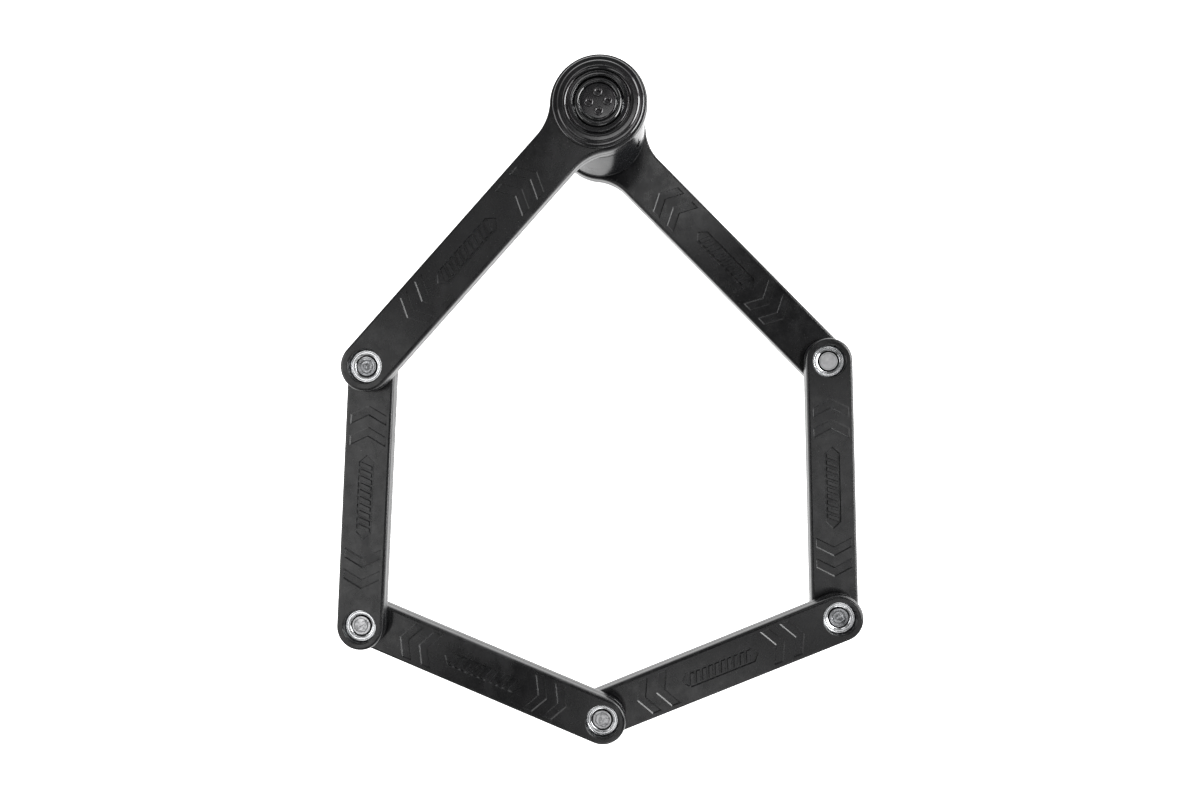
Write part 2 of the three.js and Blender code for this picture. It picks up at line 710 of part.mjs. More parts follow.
// ---- assembly -----------------------------------------------------------
function buildLock() {
  const [head, p1, p2, p3, p4, p5] = loopPoints();
  const layer = (k) => (5 - k) * LAYER_PITCH;
  const leftArm = placed(lock, head.x, head.y, layer(0), heading(head, p1));
  buildLeftArm(leftArm);
  buildEyeCap(leftArm);
  buildCapRivets(leftArm);
  buildStud(leftArm);
  const middle = [[p1, p2], [p2, p3], [p3, p4], [p4, p5]];
  for (const [i, [from, to]] of middle.entries()) {
    buildLink(`link_${i + 1}`, placed(lock, from.x, from.y, layer(i + 1), heading(from, to)));
  }
  buildRightArm(placed(lock, head.x, head.y, layer(5), heading(head, p5)));
  for (const [i, p] of [p1, p2, p3, p4, p5].entries()) {
    buildHinge(`hinge_${i + 1}`, placed(lock, p.x, p.y, layer(i)));
  }
  buildHousing(lock);
  buildJawPlate(lock);
  buildCore(lock);
  buildDiscs(lock);
  buildDetent(lock);
  buildBase(lock);
  buildShutter(lock);
  const left = Math.min(p1.x - ARM_HALF_WIDTH, p2.x - LINK_HALF_WIDTH);
  const right = Math.max(p5.x + ARM_HALF_WIDTH, p4.x + LINK_HALF_WIDTH);
  const front = p3.y - LINK_HALF_WIDTH;
  lock.position.set(-(left + right) / 2, -(EYE_RADIUS + front) / 2, 0);
  lock.updateMatrixWorld(true);
}

buildLock();

export default lock;
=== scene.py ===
"""Folding bike lock: the visible surfaces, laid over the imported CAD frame. Metres, +Z up."""
import json
import math
import random

import bmesh
import bpy
from mathutils import Matrix, Vector
from mathutils.geometry import intersect_line_line_2d


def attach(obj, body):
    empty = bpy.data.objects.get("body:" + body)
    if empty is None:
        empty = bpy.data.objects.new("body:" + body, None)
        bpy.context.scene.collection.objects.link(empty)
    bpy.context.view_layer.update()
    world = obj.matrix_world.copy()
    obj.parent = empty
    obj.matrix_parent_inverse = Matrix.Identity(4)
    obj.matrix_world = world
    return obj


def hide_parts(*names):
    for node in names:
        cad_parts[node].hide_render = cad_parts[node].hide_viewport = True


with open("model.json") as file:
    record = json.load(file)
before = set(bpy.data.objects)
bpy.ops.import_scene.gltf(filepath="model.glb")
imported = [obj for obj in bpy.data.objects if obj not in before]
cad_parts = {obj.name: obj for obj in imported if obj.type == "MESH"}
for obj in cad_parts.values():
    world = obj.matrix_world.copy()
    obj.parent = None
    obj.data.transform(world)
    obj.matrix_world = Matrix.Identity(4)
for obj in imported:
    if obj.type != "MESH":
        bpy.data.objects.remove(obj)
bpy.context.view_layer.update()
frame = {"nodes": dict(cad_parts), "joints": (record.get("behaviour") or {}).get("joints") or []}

MM = 0.001
TAU = 2 * math.pi

# ---- sizes, mm ----------------------------------------------------------
LINK_HALF = 11.75
ARM_HALF = 12.3
THICK = 7.0
PITCH = 7.5
EYE_R = 23.2
EYE_FILLET = 24.0
ROUNDING = 1.35
SHOULDER = 0.12  # flat step where the rounding starts
SHOULDER_RISE = SHOULDER * 0.6
SEAM = 0.1  # depth of the mould seam round a cover
SKIN = 1.0
SIDE_WALL = 1.25
WINDOW_R = 8.25
FERRULE_R = 8.05
RIVET_R = 4.9
FERRULE_RECESS = 2.4
RIVET_BORE = 3.35
HOUSING_R = 22.2
HOUSING_BOTTOM = 7.3
HOUSING_TOP = 34.4
JAW_TOP = 37.2
CORE_BORE = 8.5
STUD_POCKET_R = 12.9
STUD_POCKET_FLOOR = 28.0
STUD_FLANGE_WAY = 9.6  # half-width of the jaw's way out for the stud's flange
STUD_NECK_WAY = 5.6
MOUTH_HALF_ANGLE = 52
DETENT_DEGREES = -31
DETENT_HEIGHT = 23.0
SIDE_SLOT = (20.3, 28.8)  # lower and upper end
JAW_SCREW_CIRCLE = 17.5
JAW_SCREW_DEGREES = 32
CAP_RIVET_CIRCLE = 4.4
CAP_STUD_BORE = 8.3
CAP_SEAT_R = 20.2
BASE_SCREW_CIRCLE = 11.8
BASE_R = 18.4
KEYHOLE_R = 4.6
SHUTTER_PIVOT = 9.0
RELIEF = 0.46  # depth of the pressed pattern
PANEL_DEPTH = 0.6
PANEL_SLOPE = 0.6
WALL_SLOPE = 1.15  # run over rise of the pattern's walls
BAND = 5.0  # a chevron's width along the cover
CHEVRON_PITCH = 10.5
CHEVRON_HALF = 9.1
CHEVRON_RISE = 4.8


# ---- places from the frame ----------------------------------------------
def joint_place(name):
    """A joint's place in mm."""
    for joint in frame["joints"]:
        if joint["name"] == name:
            return Vector(joint["pos_m"]) / MM
    raise KeyError(name)


HEAD = joint_place("head_swivel")
HINGES = [joint_place(f"hinge_{i}_fold") for i in range(1, 6)]


def layer(index):
    """Underside of a link, mm: layer 0 is the upper arm, 5 the lower arm."""
    return (5 - index) * PITCH


def heading(a, b):
    """Direction from a to b in plan, radians."""
    return math.atan2(b.y - a.y, b.x - a.x)


def place(origin, z, angle=0.0):
    """From a piece's own frame in mm to the row frame in metres."""
    spot = Matrix.Translation((origin.x * MM, origin.y * MM, z * MM))
    return spot @ Matrix.Rotation(angle, 4, "Z") @ Matrix.Scale(MM, 4)


# ---- mesh helpers -------------------------------------------------------
def new_mesh(name, verts, faces):
    """Mesh with all its faces turned outwards."""
    mesh = bpy.data.meshes.new(name)
    mesh.from_pydata([tuple(v) for v in verts], [], faces)
    mesh.validate()
    bm = bmesh.new()
    bm.from_mesh(mesh)
    bmesh.ops.recalc_face_normals(bm, faces=bm.faces)
    bm.to_mesh(mesh)
    bm.free()
    return mesh


def new_object(name, mesh):
    obj = bpy.data.objects.new(name, mesh)
    bpy.context.scene.collection.objects.link(obj)
    return obj


def arc(cx, cy, radius, start, end, steps):
    """Points along an arc, degrees."""
    out = []
    for i in range(steps + 1):
        a = math.radians(start + (end - start) * i / steps)
        out.append((cx + radius * math.cos(a), cy + radius * math.sin(a)))
    return out


def on_circle(radius, degrees):
    """The point at an angle on a circle about the origin."""
    return (radius * math.cos(math.radians(degrees)), radius * math.sin(math.radians(degrees)))


def without_doubles(points):
    """A closed outline without its repeated points."""
    out = []
    for p in points:
        if not out or math.dist(out[-1], p) > 1e-4:
            out.append(p)
    if math.dist(out[0], out[-1]) < 1e-4:
        out.pop()
    return out


def loft(name, rings):
    """Closed solid through rings of (points, z); the first and last are capped."""
    n = len(rings[0][0])
    verts = [(x, y, z) for points, z in rings for x, y in points]
    faces = []
    for r in range(len(rings) - 1):
        for i in range(n):
            j = (i + 1) % n
            faces.append((r * n + i, r * n + j, (r + 1) * n + j, (r + 1) * n + i))
    faces.append(tuple(reversed(range(n))))
    last = (len(rings) - 1) * n
    faces.append(tuple(range(last, last + n)))
    return new_mesh(name, verts, faces)


def lathe(name, profile, segments=96, closed=True):
    """Turned about Z from (radius, z) points. Radius 0 ends close on the axis."""
    verts = []
    rows = []
    for r, z in profile:
        if r < 1e-6:
            rows.append([len(verts)])
            verts.append((0, 0, z))
            continue
        rows.append(list(range(len(verts), len(verts) + segments)))
        for i in range(segments):
            a = TAU * i / segments
            verts.append((r * math.cos(a), r * math.sin(a), z))
    faces = []
    pairs = list(zip(rows, rows[1:]))
    if closed and len(rows[0]) > 1:
        pairs.append((rows[-1], rows[0]))
    for low, high in pairs:
        for i in range(segments):
            j = (i + 1) % segments
            if len(low) == 1 and len(high) == 1:
                continue
            if len(low) == 1:
                faces.append((low[0], high[j], high[i]))
            elif len(high) == 1:
                faces.append((low[i], low[j], high[0]))
            else:
                faces.append((low[i], low[j], high[j], high[i]))
    return new_mesh(name, verts, faces)


def rounded(corners, steps=4):
    """A profile with its corners rounded: (radius, z, fillet) points in order."""
    out = []
    n = len(corners)
    for i, (x, y, r) in enumerate(corners):
        if r <= 0:
            out.append((x, y))
            continue
        p = Vector((x, y))
        a = Vector(corners[i - 1][:2]) - p
        b = Vector(corners[(i + 1) % n][:2]) - p
        reach_a = min(r, a.length * 0.49)
        reach_b = min(r, b.length * 0.49)
        start = p + a.normalized() * reach_a
        end = p + b.normalized() * reach_b
        for k in range(steps + 1):
            t = k / steps
            q = start * (1 - t) ** 2 + p * 2 * t * (1 - t) + end * t * t
            out.append((q.x, q.y))
    return out


def apply_modifiers(obj):
    depsgraph = bpy.context.evaluated_depsgraph_get()
    mesh = bpy.data.meshes.new_from_object(obj.evaluated_get(depsgraph))
    obj.modifiers.clear()
    obj.data = mesh


def cut(obj, cutters, operation="DIFFERENCE"):
    """Boolean with each cutter mesh in turn; the cutters are removed."""
    for mesh in cutters:
        tool = new_object("cutter", mesh)
        mod = obj.modifiers.new("cut", "BOOLEAN")
        mod.operation = operation
        mod.solver = "EXACT"
        mod.object = tool
        mod.material_mode = "TRANSFER"
        apply_modifiers(obj)
        bpy.data.objects.remove(tool)
    return obj


REACH = 99  # how far a side is drawn out to meet the next one, mm


def offset(points, distance):
    """A simple counter-clockwise outline moved outwards by distance."""
    out = []
    n = len(points)
    for i in range(n):
        a, b, c = Vector(points[i - 1]), Vector(points[i]), Vector(points[(i + 1) % n])
        u = (b - a).normalized()
        v = (c - b).normalized()
        nu = Vector((u.y, -u.x)) * distance
        nv = Vector((v.y, -v.x)) * distance
        far_u, far_v = u * REACH, v * REACH
        hit = intersect_line_line_2d(a + nu - far_u, b + nu + far_u, b + nv - far_v, c + nv + far_v)
        out.append(tuple(hit) if hit is not None else tuple(b + nu))
    return out


def tapered(name, points, surface, depth, up, slope=WALL_SLOPE):
    """Cutter for a sunk shape with sloping walls. up is 1 for a top face, -1 for an underside."""
    over = 0.3
    rings = [
        (offset(points, -slope * depth), surface - up * depth),
        (offset(points, slope * over), surface + up * over),
    ]
    if up < 0:
        rings.reverse()
    return loft(name, rings)


def prism(name, points, z0, z1):
    """An outline drawn straight up from z0 to z1."""
    return loft(name, [(points, z0), (points, z1)])


def drum(name, radius, z0, z1, x=0.0, y=0.0, segments=64):
    """Upright cylinder."""
    return prism(name, arc(x, y, radius, 0, 360 * (segments - 1) / segments, segments - 1), z0, z1)


def flared_hole(name, radius, z_low, z_high, x, lip=0.5, segments=96):
    """Cutter for a through hole with a rounded lip at both faces."""
    rings = []
    steps = 5
    for k in range(steps + 1):
        a = math.radians(90 * k / steps)
        rings.append((radius + lip * (1 - math.sin(a)), z_low + lip * (1 - math.cos(a))))
    rings.insert(0, (radius + lip, z_low - 1))
    top = [(r, z_high - (z - z_low)) for r, z in reversed(rings[1:])]
    rings += top + [(radius + lip, z_high + 1)]
    span = 360 * (segments - 1) / segments
    return loft(name, [(arc(x, 0, r, 0, span, segments - 1), z) for r, z in rings])


def joined(name, meshes):
    """Several separate closed shells as one mesh."""
    bm = bmesh.new()
    for mesh in meshes:
        bm.from_mesh(mesh)
    out = bpy.data.meshes.new(name)
    bm.to_mesh(out)
    bm.free()
    return out


def finish_mesh(obj, matrix, sharp=28):
    """Into the row frame, with smooth shading that keeps its hard edges and flat faces."""
    obj.data.transform(matrix)
    bm = bmesh.new()
    bm.from_mesh(obj.data)
    bmesh.ops.remove_doubles(bm, verts=bm.verts, dist=2e-7)
    bm.to_mesh(obj.data)
    bm.free()
    obj.data.shade_smooth()
    obj.data.set_sharp_from_angle(angle=math.radians(sharp))
    weigh = obj.modifiers.new("weigh", "WEIGHTED_NORMAL")
    weigh.keep_sharp = True
    apply_modifiers(obj)
    return obj


def add_piece(obj, body, slot, material, *nodes):
    """Give a finished mesh its material and body, and hide the CAD nodes it stands for; slot is not used."""
    if material is not None:
        if not obj.data.materials:
            obj.data.materials.append(material)
        else:
            obj.data.materials[0] = material
    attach(obj, body)
    if nodes:
        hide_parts(*nodes)
    return obj


# ---- materials ----------------------------------------------------------
class Shader:
    """Small helper that wires one procedural material."""

    def __init__(self, name):
        self.material = bpy.data.materials.new(name)
        self.material.use_nodes = True
        self.tree = self.material.node_tree
        self.bsdf = self.tree.nodes["Principled BSDF"]
        self.coords = self.node("ShaderNodeTexCoord")

    def node(self, kind, **values):
        made = self.tree.nodes.new(kind)
        for key, value in values.items():
            if key in made.inputs:
                made.inputs[key].default_value = value
            else:
                setattr(made, key, value)
        return made

    def link(self, a, b):
        self.tree.links.new(a, b)

    def set(self, **values):
        for key, value in values.items():
            self.bsdf.inputs[key.replace("_", " ")].default_value = value

    def scaled(self, scale=(1, 1, 1), source="Object"):
        mapping = self.node("ShaderNodeMapping")
        mapping.inputs["Scale"].default_value = scale
        self.link(self.coords.outputs[source], mapping.inputs["Vector"])
        return mapping.outputs["Vector"]

    def noise(self, size_mm, detail=3.0, rough=0.55, vector=None):
        """Noise whose main features are about size_mm across."""
        tex = self.node("ShaderNodeTexNoise")
        tex.inputs["Scale"].default_value = 1000.0 / size_mm
        tex.inputs["Detail"].default_value = detail
        tex.inputs["Roughness"].default_value = rough
        self.link(vector or self.coords.outputs["Object"], tex.inputs["Vector"])
        return tex.outputs["Fac"]

    def remap(self, value, low, high, out_low, out_high):
        m = self.node("ShaderNodeMapRange")
        for key, v in zip(("From Min", "From Max", "To Min", "To Max"), (low, high, out_low, out_high)):
            m.inputs[key].default_value = v
        self.link(value, m.inputs["Value"])
        return m.outputs["Result"]

    def mix(self, fac, a, b):
        m = self.node("ShaderNodeMix", data_type="RGBA")
        for socket, value in ((m.inputs[6], a), (m.inputs[7], b)):
            if isinstance(value, tuple):
                socket.default_value = (*value, 1)
            else:
                self.link(value, socket)
        self.link(fac, m.inputs[0])
        return m.outputs[2]

    def math(self, operation, a, b):
        m = self.node("ShaderNodeMath", operation=operation)
        for socket, value in zip(m.inputs, (a, b)):
            if isinstance(value, (int, float)):
                socket.default_value = value
            else:
                self.link(value, socket)
        return m.outputs[0]

    def radius(self, centre):
        """Distance in metres from the upright axis through a point given in mm."""
        shift = self.node("ShaderNodeVectorMath", operation="SUBTRACT")
        shift.inputs[1].default_value = (centre.x * MM, centre.y * MM, 0)
        self.link(self.coords.outputs["Object"], shift.inputs[0])
        split = self.node("ShaderNodeSeparateXYZ")
        self.link(shift.outputs["Vector"], split.inputs[0])
        xx = self.math("MULTIPLY", split.outputs["X"], split.outputs["X"])
        yy = self.math("MULTIPLY", split.outputs["Y"], split.outputs["Y"])
        return self.math("SQRT", self.math("ADD", xx, yy), 0)

    def band(self, value, low_mm, high_mm, soft_mm):
        """1 where a length lies between two limits, falling off over soft_mm."""
        rise = self.remap(value, (low_mm - soft_mm) * MM, low_mm * MM, 0.0, 1.0)
        fall = self.remap(value, high_mm * MM, (high_mm + soft_mm) * MM, 1.0, 0.0)
        return self.math("MULTIPLY", rise, fall)

    def bump(self, height, strength, distance_mm, under=None):
        b = self.node("ShaderNodeBump")
        b.inputs["Strength"].default_value = strength
        b.inputs["Distance"].default_value = distance_mm * MM
        self.link(height, b.inputs["Height"])
        if under is not None:
            self.link(under, b.inputs["Normal"])
        return b.outputs["Normal"]

    def edges(self, radius_mm):
        """About 1 along sharp edges and 0 elsewhere."""
        bevel = self.node("ShaderNodeBevel")
        bevel.samples = 6
        bevel.inputs["Radius"].default_value = radius_mm * MM
        geometry = self.node("ShaderNodeNewGeometry")
        dot = self.node("ShaderNodeVectorMath", operation="DOT_PRODUCT")
        self.link(bevel.outputs["Normal"], dot.inputs[0])
        self.link(geometry.outputs["Normal"], dot.inputs[1])
        return self.remap(dot.outputs["Value"], 0.985, 0.75, 0.0, 1.0)


def cover_material(name, pressed=False):
    """Satin black moulded cover: mottling, moulding grain, rubbed edges, hair scratches, dust and smears."""
    s = Shader(name)
    lift = 1.15 if pressed else 1.0
    base = s.mix(
        s.remap(s.noise(14, 4, 0.6), 0.3, 0.7, 0.0, 1.0),
        tuple(c * lift for c in (0.0042, 0.0042, 0.0047)),
        tuple(c * lift for c in (0.0085, 0.0086, 0.0093)),
    )
    hair = s.noise(1.0, 2, 0.5, s.scaled((1.2, 26, 1), "UV"))
    scratch = s.remap(hair, 0.66, 0.74, 0.0, 1.0)
    base = s.mix(s.math("MULTIPLY", scratch, 0.22), base, (0.07, 0.07, 0.072))
    smear = s.remap(s.noise(18, 4, 0.62, s.scaled((1.0, 0.5, 1.0))), 0.52, 0.72, 0.0, 0.3)
    base = s.mix(smear, base, (0.05, 0.05, 0.052))
    dust = s.remap(s.noise(0.75, 1, 0.4), 0.74, 0.79, 0.0, 0.35)
    base = s.mix(dust, base, (0.14, 0.14, 0.138))
    worn = s.math("MULTIPLY", s.edges(0.7), s.remap(s.noise(5, 3, 0.6), 0.42, 0.7, 0.1, 1.0))
    base = s.mix(s.math("MULTIPLY", worn, 0.5), base, (0.075, 0.075, 0.078))
    s.link(base, s.bsdf.inputs["Base Color"])
    low, high = (0.2, 0.32) if pressed else (0.18, 0.3)
    rough = s.remap(s.noise(7, 4, 0.65), 0.3, 0.7, low, high)
    rough = s.math("ADD", rough, s.math("MULTIPLY", scratch, 0.06))
    s.link(s.math("ADD", rough, s.math("MULTIPLY", smear, 0.4)), s.bsdf.inputs["Roughness"])
    s.set(Specular_IOR_Level=0.6)
    normal = s.bump(s.noise(0.5, 2, 0.5), 0.1 if pressed else 0.06, 0.03)
    normal = s.bump(s.noise(10, 2, 0.5), 0.3, 0.06, normal)
    s.link(normal, s.bsdf.inputs["Normal"])
    return s.material


def gloss_material(name, base=(0.004, 0.0042, 0.0047), rough=(0.2, 0.32)):
    """Gloss black coated metal with faint orange peel and handling haze."""
    s = Shader(name)
    tone = s.remap(s.noise(11, 3, 0.6), 0.3, 0.7, 0.0, 1.0)
    s.link(s.mix(tone, base, tuple(c * 1.9 for c in base)), s.bsdf.inputs["Base Color"])
    haze = s.remap(s.noise(5, 5, 0.7), 0.35, 0.75, rough[0], rough[1])
    s.link(haze, s.bsdf.inputs["Roughness"])
    s.set(IOR=1.28)
    s.link(s.bump(s.noise(2.6, 2, 0.5), 0.03, 0.02), s.bsdf.inputs["Normal"])
    return s.material


def turned_material(name, base, tint, rough, centre=None, shade_and_grime_bands=(), ring_mm=0.7, strength=0.04):
    """Turned bright metal: concentric tool marks about a centre, painted shade with some grime in bands
    about it (its gaps and grooves), smudges and nicks.
    """
    s = Shader(name)
    smudge = s.noise(4, 4, 0.65)
    colour = s.mix(s.remap(smudge, 0.3, 0.72, 0, 1), base, tint)
    r = s.remap(s.noise(2.4, 4, 0.65), 0.3, 0.75, rough[0], rough[1])
    if centre is None:
        rings = s.noise(ring_mm * 2, 3, 0.6)
    else:
        radius = s.radius(centre)
        marks = s.node("ShaderNodeTexNoise", noise_dimensions="1D")
        marks.inputs["Scale"].default_value = 1000.0 / ring_mm
        marks.inputs["Detail"].default_value = 1
        s.link(radius, marks.inputs["W"])
        rings = marks.outputs["Fac"]
        # Painted shade with some grime: each band darkens the colour at set radii about the centre, mostly
        # gaps and grooves that lie in shade.
        for low, high, depth in shade_and_grime_bands:
            painted_shade_and_grime = s.math("MULTIPLY", s.band(radius, low, high, 0.12), depth)
            colour = s.mix(painted_shade_and_grime, colour, (0.012, 0.012, 0.013))
            r = s.math("MAXIMUM", r, s.math("MULTIPLY", painted_shade_and_grime, 0.5))
    s.link(colour, s.bsdf.inputs["Base Color"])
    s.link(r, s.bsdf.inputs["Roughness"])
    s.set(Metallic=1.0)
    normal = s.bump(rings, strength, 0.02)
    normal = s.bump(s.remap(s.noise(2.2, 1, 0.5), 0.68, 0.74, 1, 0), 0.03, 0.02, normal)
    s.link(normal, s.bsdf.inputs["Normal"])
    return s.material


def steel_bar_material():
    """Hardened flat bar: rolled, dark heat-treated finish with faint directional streaks; the finish is also
    kept dark as painted shade where the bar's walls show in the hinge bores.
    """
    s = Shader("hardened_bar")
    streak = s.noise(0.8, 3, 0.6, s.scaled((1, 1, 0.2)))
    s.link(s.mix(streak, (0.14, 0.145, 0.15), (0.26, 0.265, 0.27)), s.bsdf.inputs["Base Color"])
    s.link(s.remap(s.noise(6, 4), 0.3, 0.7, 0.3, 0.45), s.bsdf.inputs["Roughness"])
    s.set(Metallic=1.0)
    s.link(s.bump(streak, 0.15, 0.02), s.bsdf.inputs["Normal"])
    return s.material


def cap_material():
    """Semi-gloss moulded cap with turned look and faint haze."""
    s = Shader("cap_black")
    tone = s.remap(s.noise(9, 3, 0.6), 0.3, 0.7, 0.0, 1.0)
    base = s.mix(tone, (0.0065, 0.0066, 0.0072), (0.0125, 0.0127, 0.0136))
    worn = s.math("MULTIPLY", s.edges(0.5), s.remap(s.noise(3, 3, 0.6), 0.4, 0.7, 0.1, 1.0))
    s.link(s.mix(s.math("MULTIPLY", worn, 0.5), base, (0.09, 0.09, 0.093)), s.bsdf.inputs["Base Color"])
    s.link(s.remap(s.noise(4, 5, 0.7), 0.3, 0.7, 0.1, 0.17), s.bsdf.inputs["Roughness"])
    s.set(Specular_IOR_Level=0.95)
    s.link(s.bump(s.noise(5, 1, 0.5), 0.02, 0.02), s.bsdf.inputs["Normal"])
    return s.material


# ---- outlines -----------------------------------------------------------
def link_outline(length, inset, steps=40):
    """A middle link: a bar with two round ends, drawn in by inset."""
    r = LINK_HALF - inset
    return without_doubles(arc(length, 0, r, -90, 90, steps) + arc(0, 0, r, 90, 270, steps))


def arm_outline(length, inset, steps=40):
    """An arm: a bar that widens into a round eye at the origin, drawn in by inset."""
    eye = EYE_R - inset
    half = ARM_HALF - inset
    fillet = EYE_FILLET + inset
    fy = half + fillet
    fx = math.sqrt((eye + fillet) ** 2 - fy**2)
    turn = math.degrees(math.atan2(fy, fx))
    points = arc(length, 0, half, -90, 90, steps)
    points += arc(fx, fy, fillet, 270, 180 + turn, 14)
    points += arc(0, 0, eye, turn, 360 - turn, steps * 2)
    points += arc(fx, -fy, fillet, 180 - turn, 90, 14)
    return without_doubles(points)


def rounded_bar(name, outline, length):
    """A flat bar with rounded edges, a crisp shoulder where they start and a mould seam at mid height."""
    rings = []
    steps = 6
    rings.append((outline(length, ROUNDING + SHOULDER), 0.0))
    for k in range(steps + 1):
        a = math.radians(90 * k / steps)
        z = SHOULDER_RISE + ROUNDING * (1 - math.cos(a))
        rings.append((outline(length, ROUNDING * (1 - math.sin(a))), z))
    rings.append((outline(length, 0), THICK / 2 - 1.6 * SEAM))
    rings.append((outline(length, SEAM), THICK / 2 - 0.6 * SEAM))
    rings += [(points, THICK - z) for points, z in reversed(rings)]
    return loft(name, rings)


# ---- pressed pattern ----------------------------------------------------
def chevron(apex, direction):
    """Band bent to a point at apex on the x axis, pointing along direction (1 or -1)."""
    d = direction
    points = [
        (apex, 0),
        (apex - d * CHEVRON_RISE, CHEVRON_HALF),
        (apex - d * (CHEVRON_RISE + BAND), CHEVRON_HALF),
        (apex - d * BAND, 0),
        (apex - d * (CHEVRON_RISE + BAND), -CHEVRON_HALF),
        (apex - d * CHEVRON_RISE, -CHEVRON_HALF),
    ]
    return points if d > 0 else list(reversed(points))


def panel_outline(centre, half_length=21.0, half_width=3.9, point=3.6):
    """A long panel that comes to a point at both ends."""
    return [
        (centre + half_length, 0),
        (centre + half_length - point, half_width),
        (centre - half_length + point, half_width),
        (centre - half_length, 0),
        (centre - half_length + point, -half_width),
        (centre + half_length - point, -half_width),
    ]


def rib_outlines(centre, count=10, pitch=3.4, width=1.7, half=2.6, slant=1.0):
    """Slanted ribs left standing in the panel."""
    out = []
    for i in range(count):
        x = centre + (i - (count - 1) / 2) * pitch
        out.append(
            [
                (x - width / 2 - slant, -half),
                (x + width / 2 - slant, -half),
                (x + width / 2 + slant, half),
                (x - width / 2 + slant, half),
            ]
        )
    return out


def panel_cutter(centre, surface, up):
    """Cutter for the sunk panel with its ribs left standing."""
    mesh = tapered("panel", panel_outline(centre), surface, PANEL_DEPTH, up, PANEL_SLOPE)
    tool = new_object("panel", mesh)
    ribs = []
    for points in rib_outlines(centre):
        low = surface - up * (PANEL_DEPTH + 0.2)
        high = surface + up * 0.5
        rings = [(offset(points, 0.4), low), (offset(points, -0.25), high)]
        if up < 0:
            rings.reverse()
        ribs.append(loft("rib", rings))
    cut(tool, [joined("ribs", ribs)])
    mesh = tool.data
    bpy.data.objects.remove(tool)
    return mesh


def pattern_cutter(apexes, panel_at):
    """Everything pressed into both faces of one cover, as separate closed shells."""
    shells = []
    for surface, up in ((THICK, 1), (0.0, -1)):
        for apex, direction in apexes:
            shells.append(tapered("band", chevron(apex, direction), surface, RELIEF, up))
        shells.append(panel_cutter(panel_at, surface, up))
    return joined("pattern", shells)


UV_PER_MM = 0.01
UV_LEAN = 0.003  # a little height mixed in, so that upright sides have some texture too


def with_local_uv(obj):
    """Length and width across the bar as UVs, so streaks run along it."""
    mesh = obj.data
    layer_uv = mesh.uv_layers.new(name="along") if not mesh.uv_layers else mesh.uv_layers[0]
    for loop in mesh.loops:
        co = mesh.vertices[loop.vertex_index].co
        lean = co.z * UV_LEAN
        layer_uv.data[loop.index].uv = (co.x * UV_PER_MM + lean, co.y * UV_PER_MM + lean)


def build_cover(name, outline, length, windows, apexes, panel_at, materials):
    """Rounded cover with the steel bar's hollow, its pressed pattern and its windows.

    A window is (place along the cover, radius below, radius above).
    """
    obj = new_object(name, rounded_bar(name, outline, length))
    obj.data.materials.append(materials[0])
    obj.data.materials.append(materials[1])
    pattern = pattern_cutter(apexes, panel_at)
    pattern.materials.append(materials[1])
    hollow = prism("hollow", outline(length, SIDE_WALL, 12), SKIN - 0.25, THICK - SKIN + 0.25)
    hollow.materials.append(materials[0])
    cut(obj, [pattern, hollow])
    holes = []
    for x, low_r, high_r in windows:
        if abs(low_r - high_r) < 1e-6:
            holes.append(flared_hole("window", low_r, 0, THICK, x))
            continue
        holes.append(drum("window", low_r, -1, 2, x))
        holes.append(drum("window", high_r, THICK - 2, THICK + 1, x, segments=96))
    for hole in holes:
        hole.materials.append(materials[0])
    cut(obj, holes)
    with_local_uv(obj)
    return obj


ARM_PANEL_AT = 93.0
MID_LENGTH = (HINGES[1].to_2d() - HINGES[0].to_2d()).length
ARM_LENGTH = (HINGES[0].to_2d() - HEAD.to_2d()).length


def chevron_pairs(low, high):
    """Two chevrons pointing each way: the outer ones' apexes are at low and high along the cover."""
    return [(low, -1), (low + CHEVRON_PITCH, -1), (high, 1), (high - CHEVRON_PITCH, 1)]


def build_covers(materials):
    """Four equal middle covers and the two arms'."""
    ends = chevron_pairs(19.0, MID_LENGTH - 19.0)
    windows = [(0, WINDOW_R, WINDOW_R), (MID_LENGTH, WINDOW_R, WINDOW_R)]
    pattern = build_cover("cover", link_outline, MID_LENGTH, windows, ends, MID_LENGTH / 2, materials)
    for i in range(4):
        name = f"link_{i + 1}"
        obj = new_object(f"{name}_moulding", pattern.data.copy())
        start, end = HINGES[i], HINGES[i + 1]
        finish_mesh(obj, place(start, layer(i + 1), heading(start, end)))
        add_piece(obj, name, "cover", None, f"{name}_cover")
    bpy.data.objects.remove(pattern)
    arm_ends = chevron_pairs(43.0, 136.0)
    arms = (
        ("left_arm", HINGES[0], 0, (0, CAP_STUD_BORE, CAP_SEAT_R)),
        ("right_arm", HINGES[4], 5, (0, BASE_R + 0.5, BASE_R + 0.5)),
    )
    for name, far, index, eye_window in arms:
        windows = [eye_window, (ARM_LENGTH, WINDOW_R, WINDOW_R)]
        obj = build_cover(
            f"{name}_moulding", arm_outline, ARM_LENGTH, windows, arm_ends, ARM_PANEL_AT, materials
        )
        finish_mesh(obj, place(HEAD, layer(index), heading(HEAD, far)))
        add_piece(obj, name, "cover", None, f"{name}_cover")


# ---- hinges -------------------------------------------------------------
FERRULE_TOP = THICK - FERRULE_RECESS
SEAT = 2.9  # underside of a ring in its link
LEDGE = SEAT + 0.6  # where the rivet's head lands in the ring
STACK_MID = (THICK - PITCH) / 2  # height halfway through two stacked links
HEAD_SEGMENTS = 72


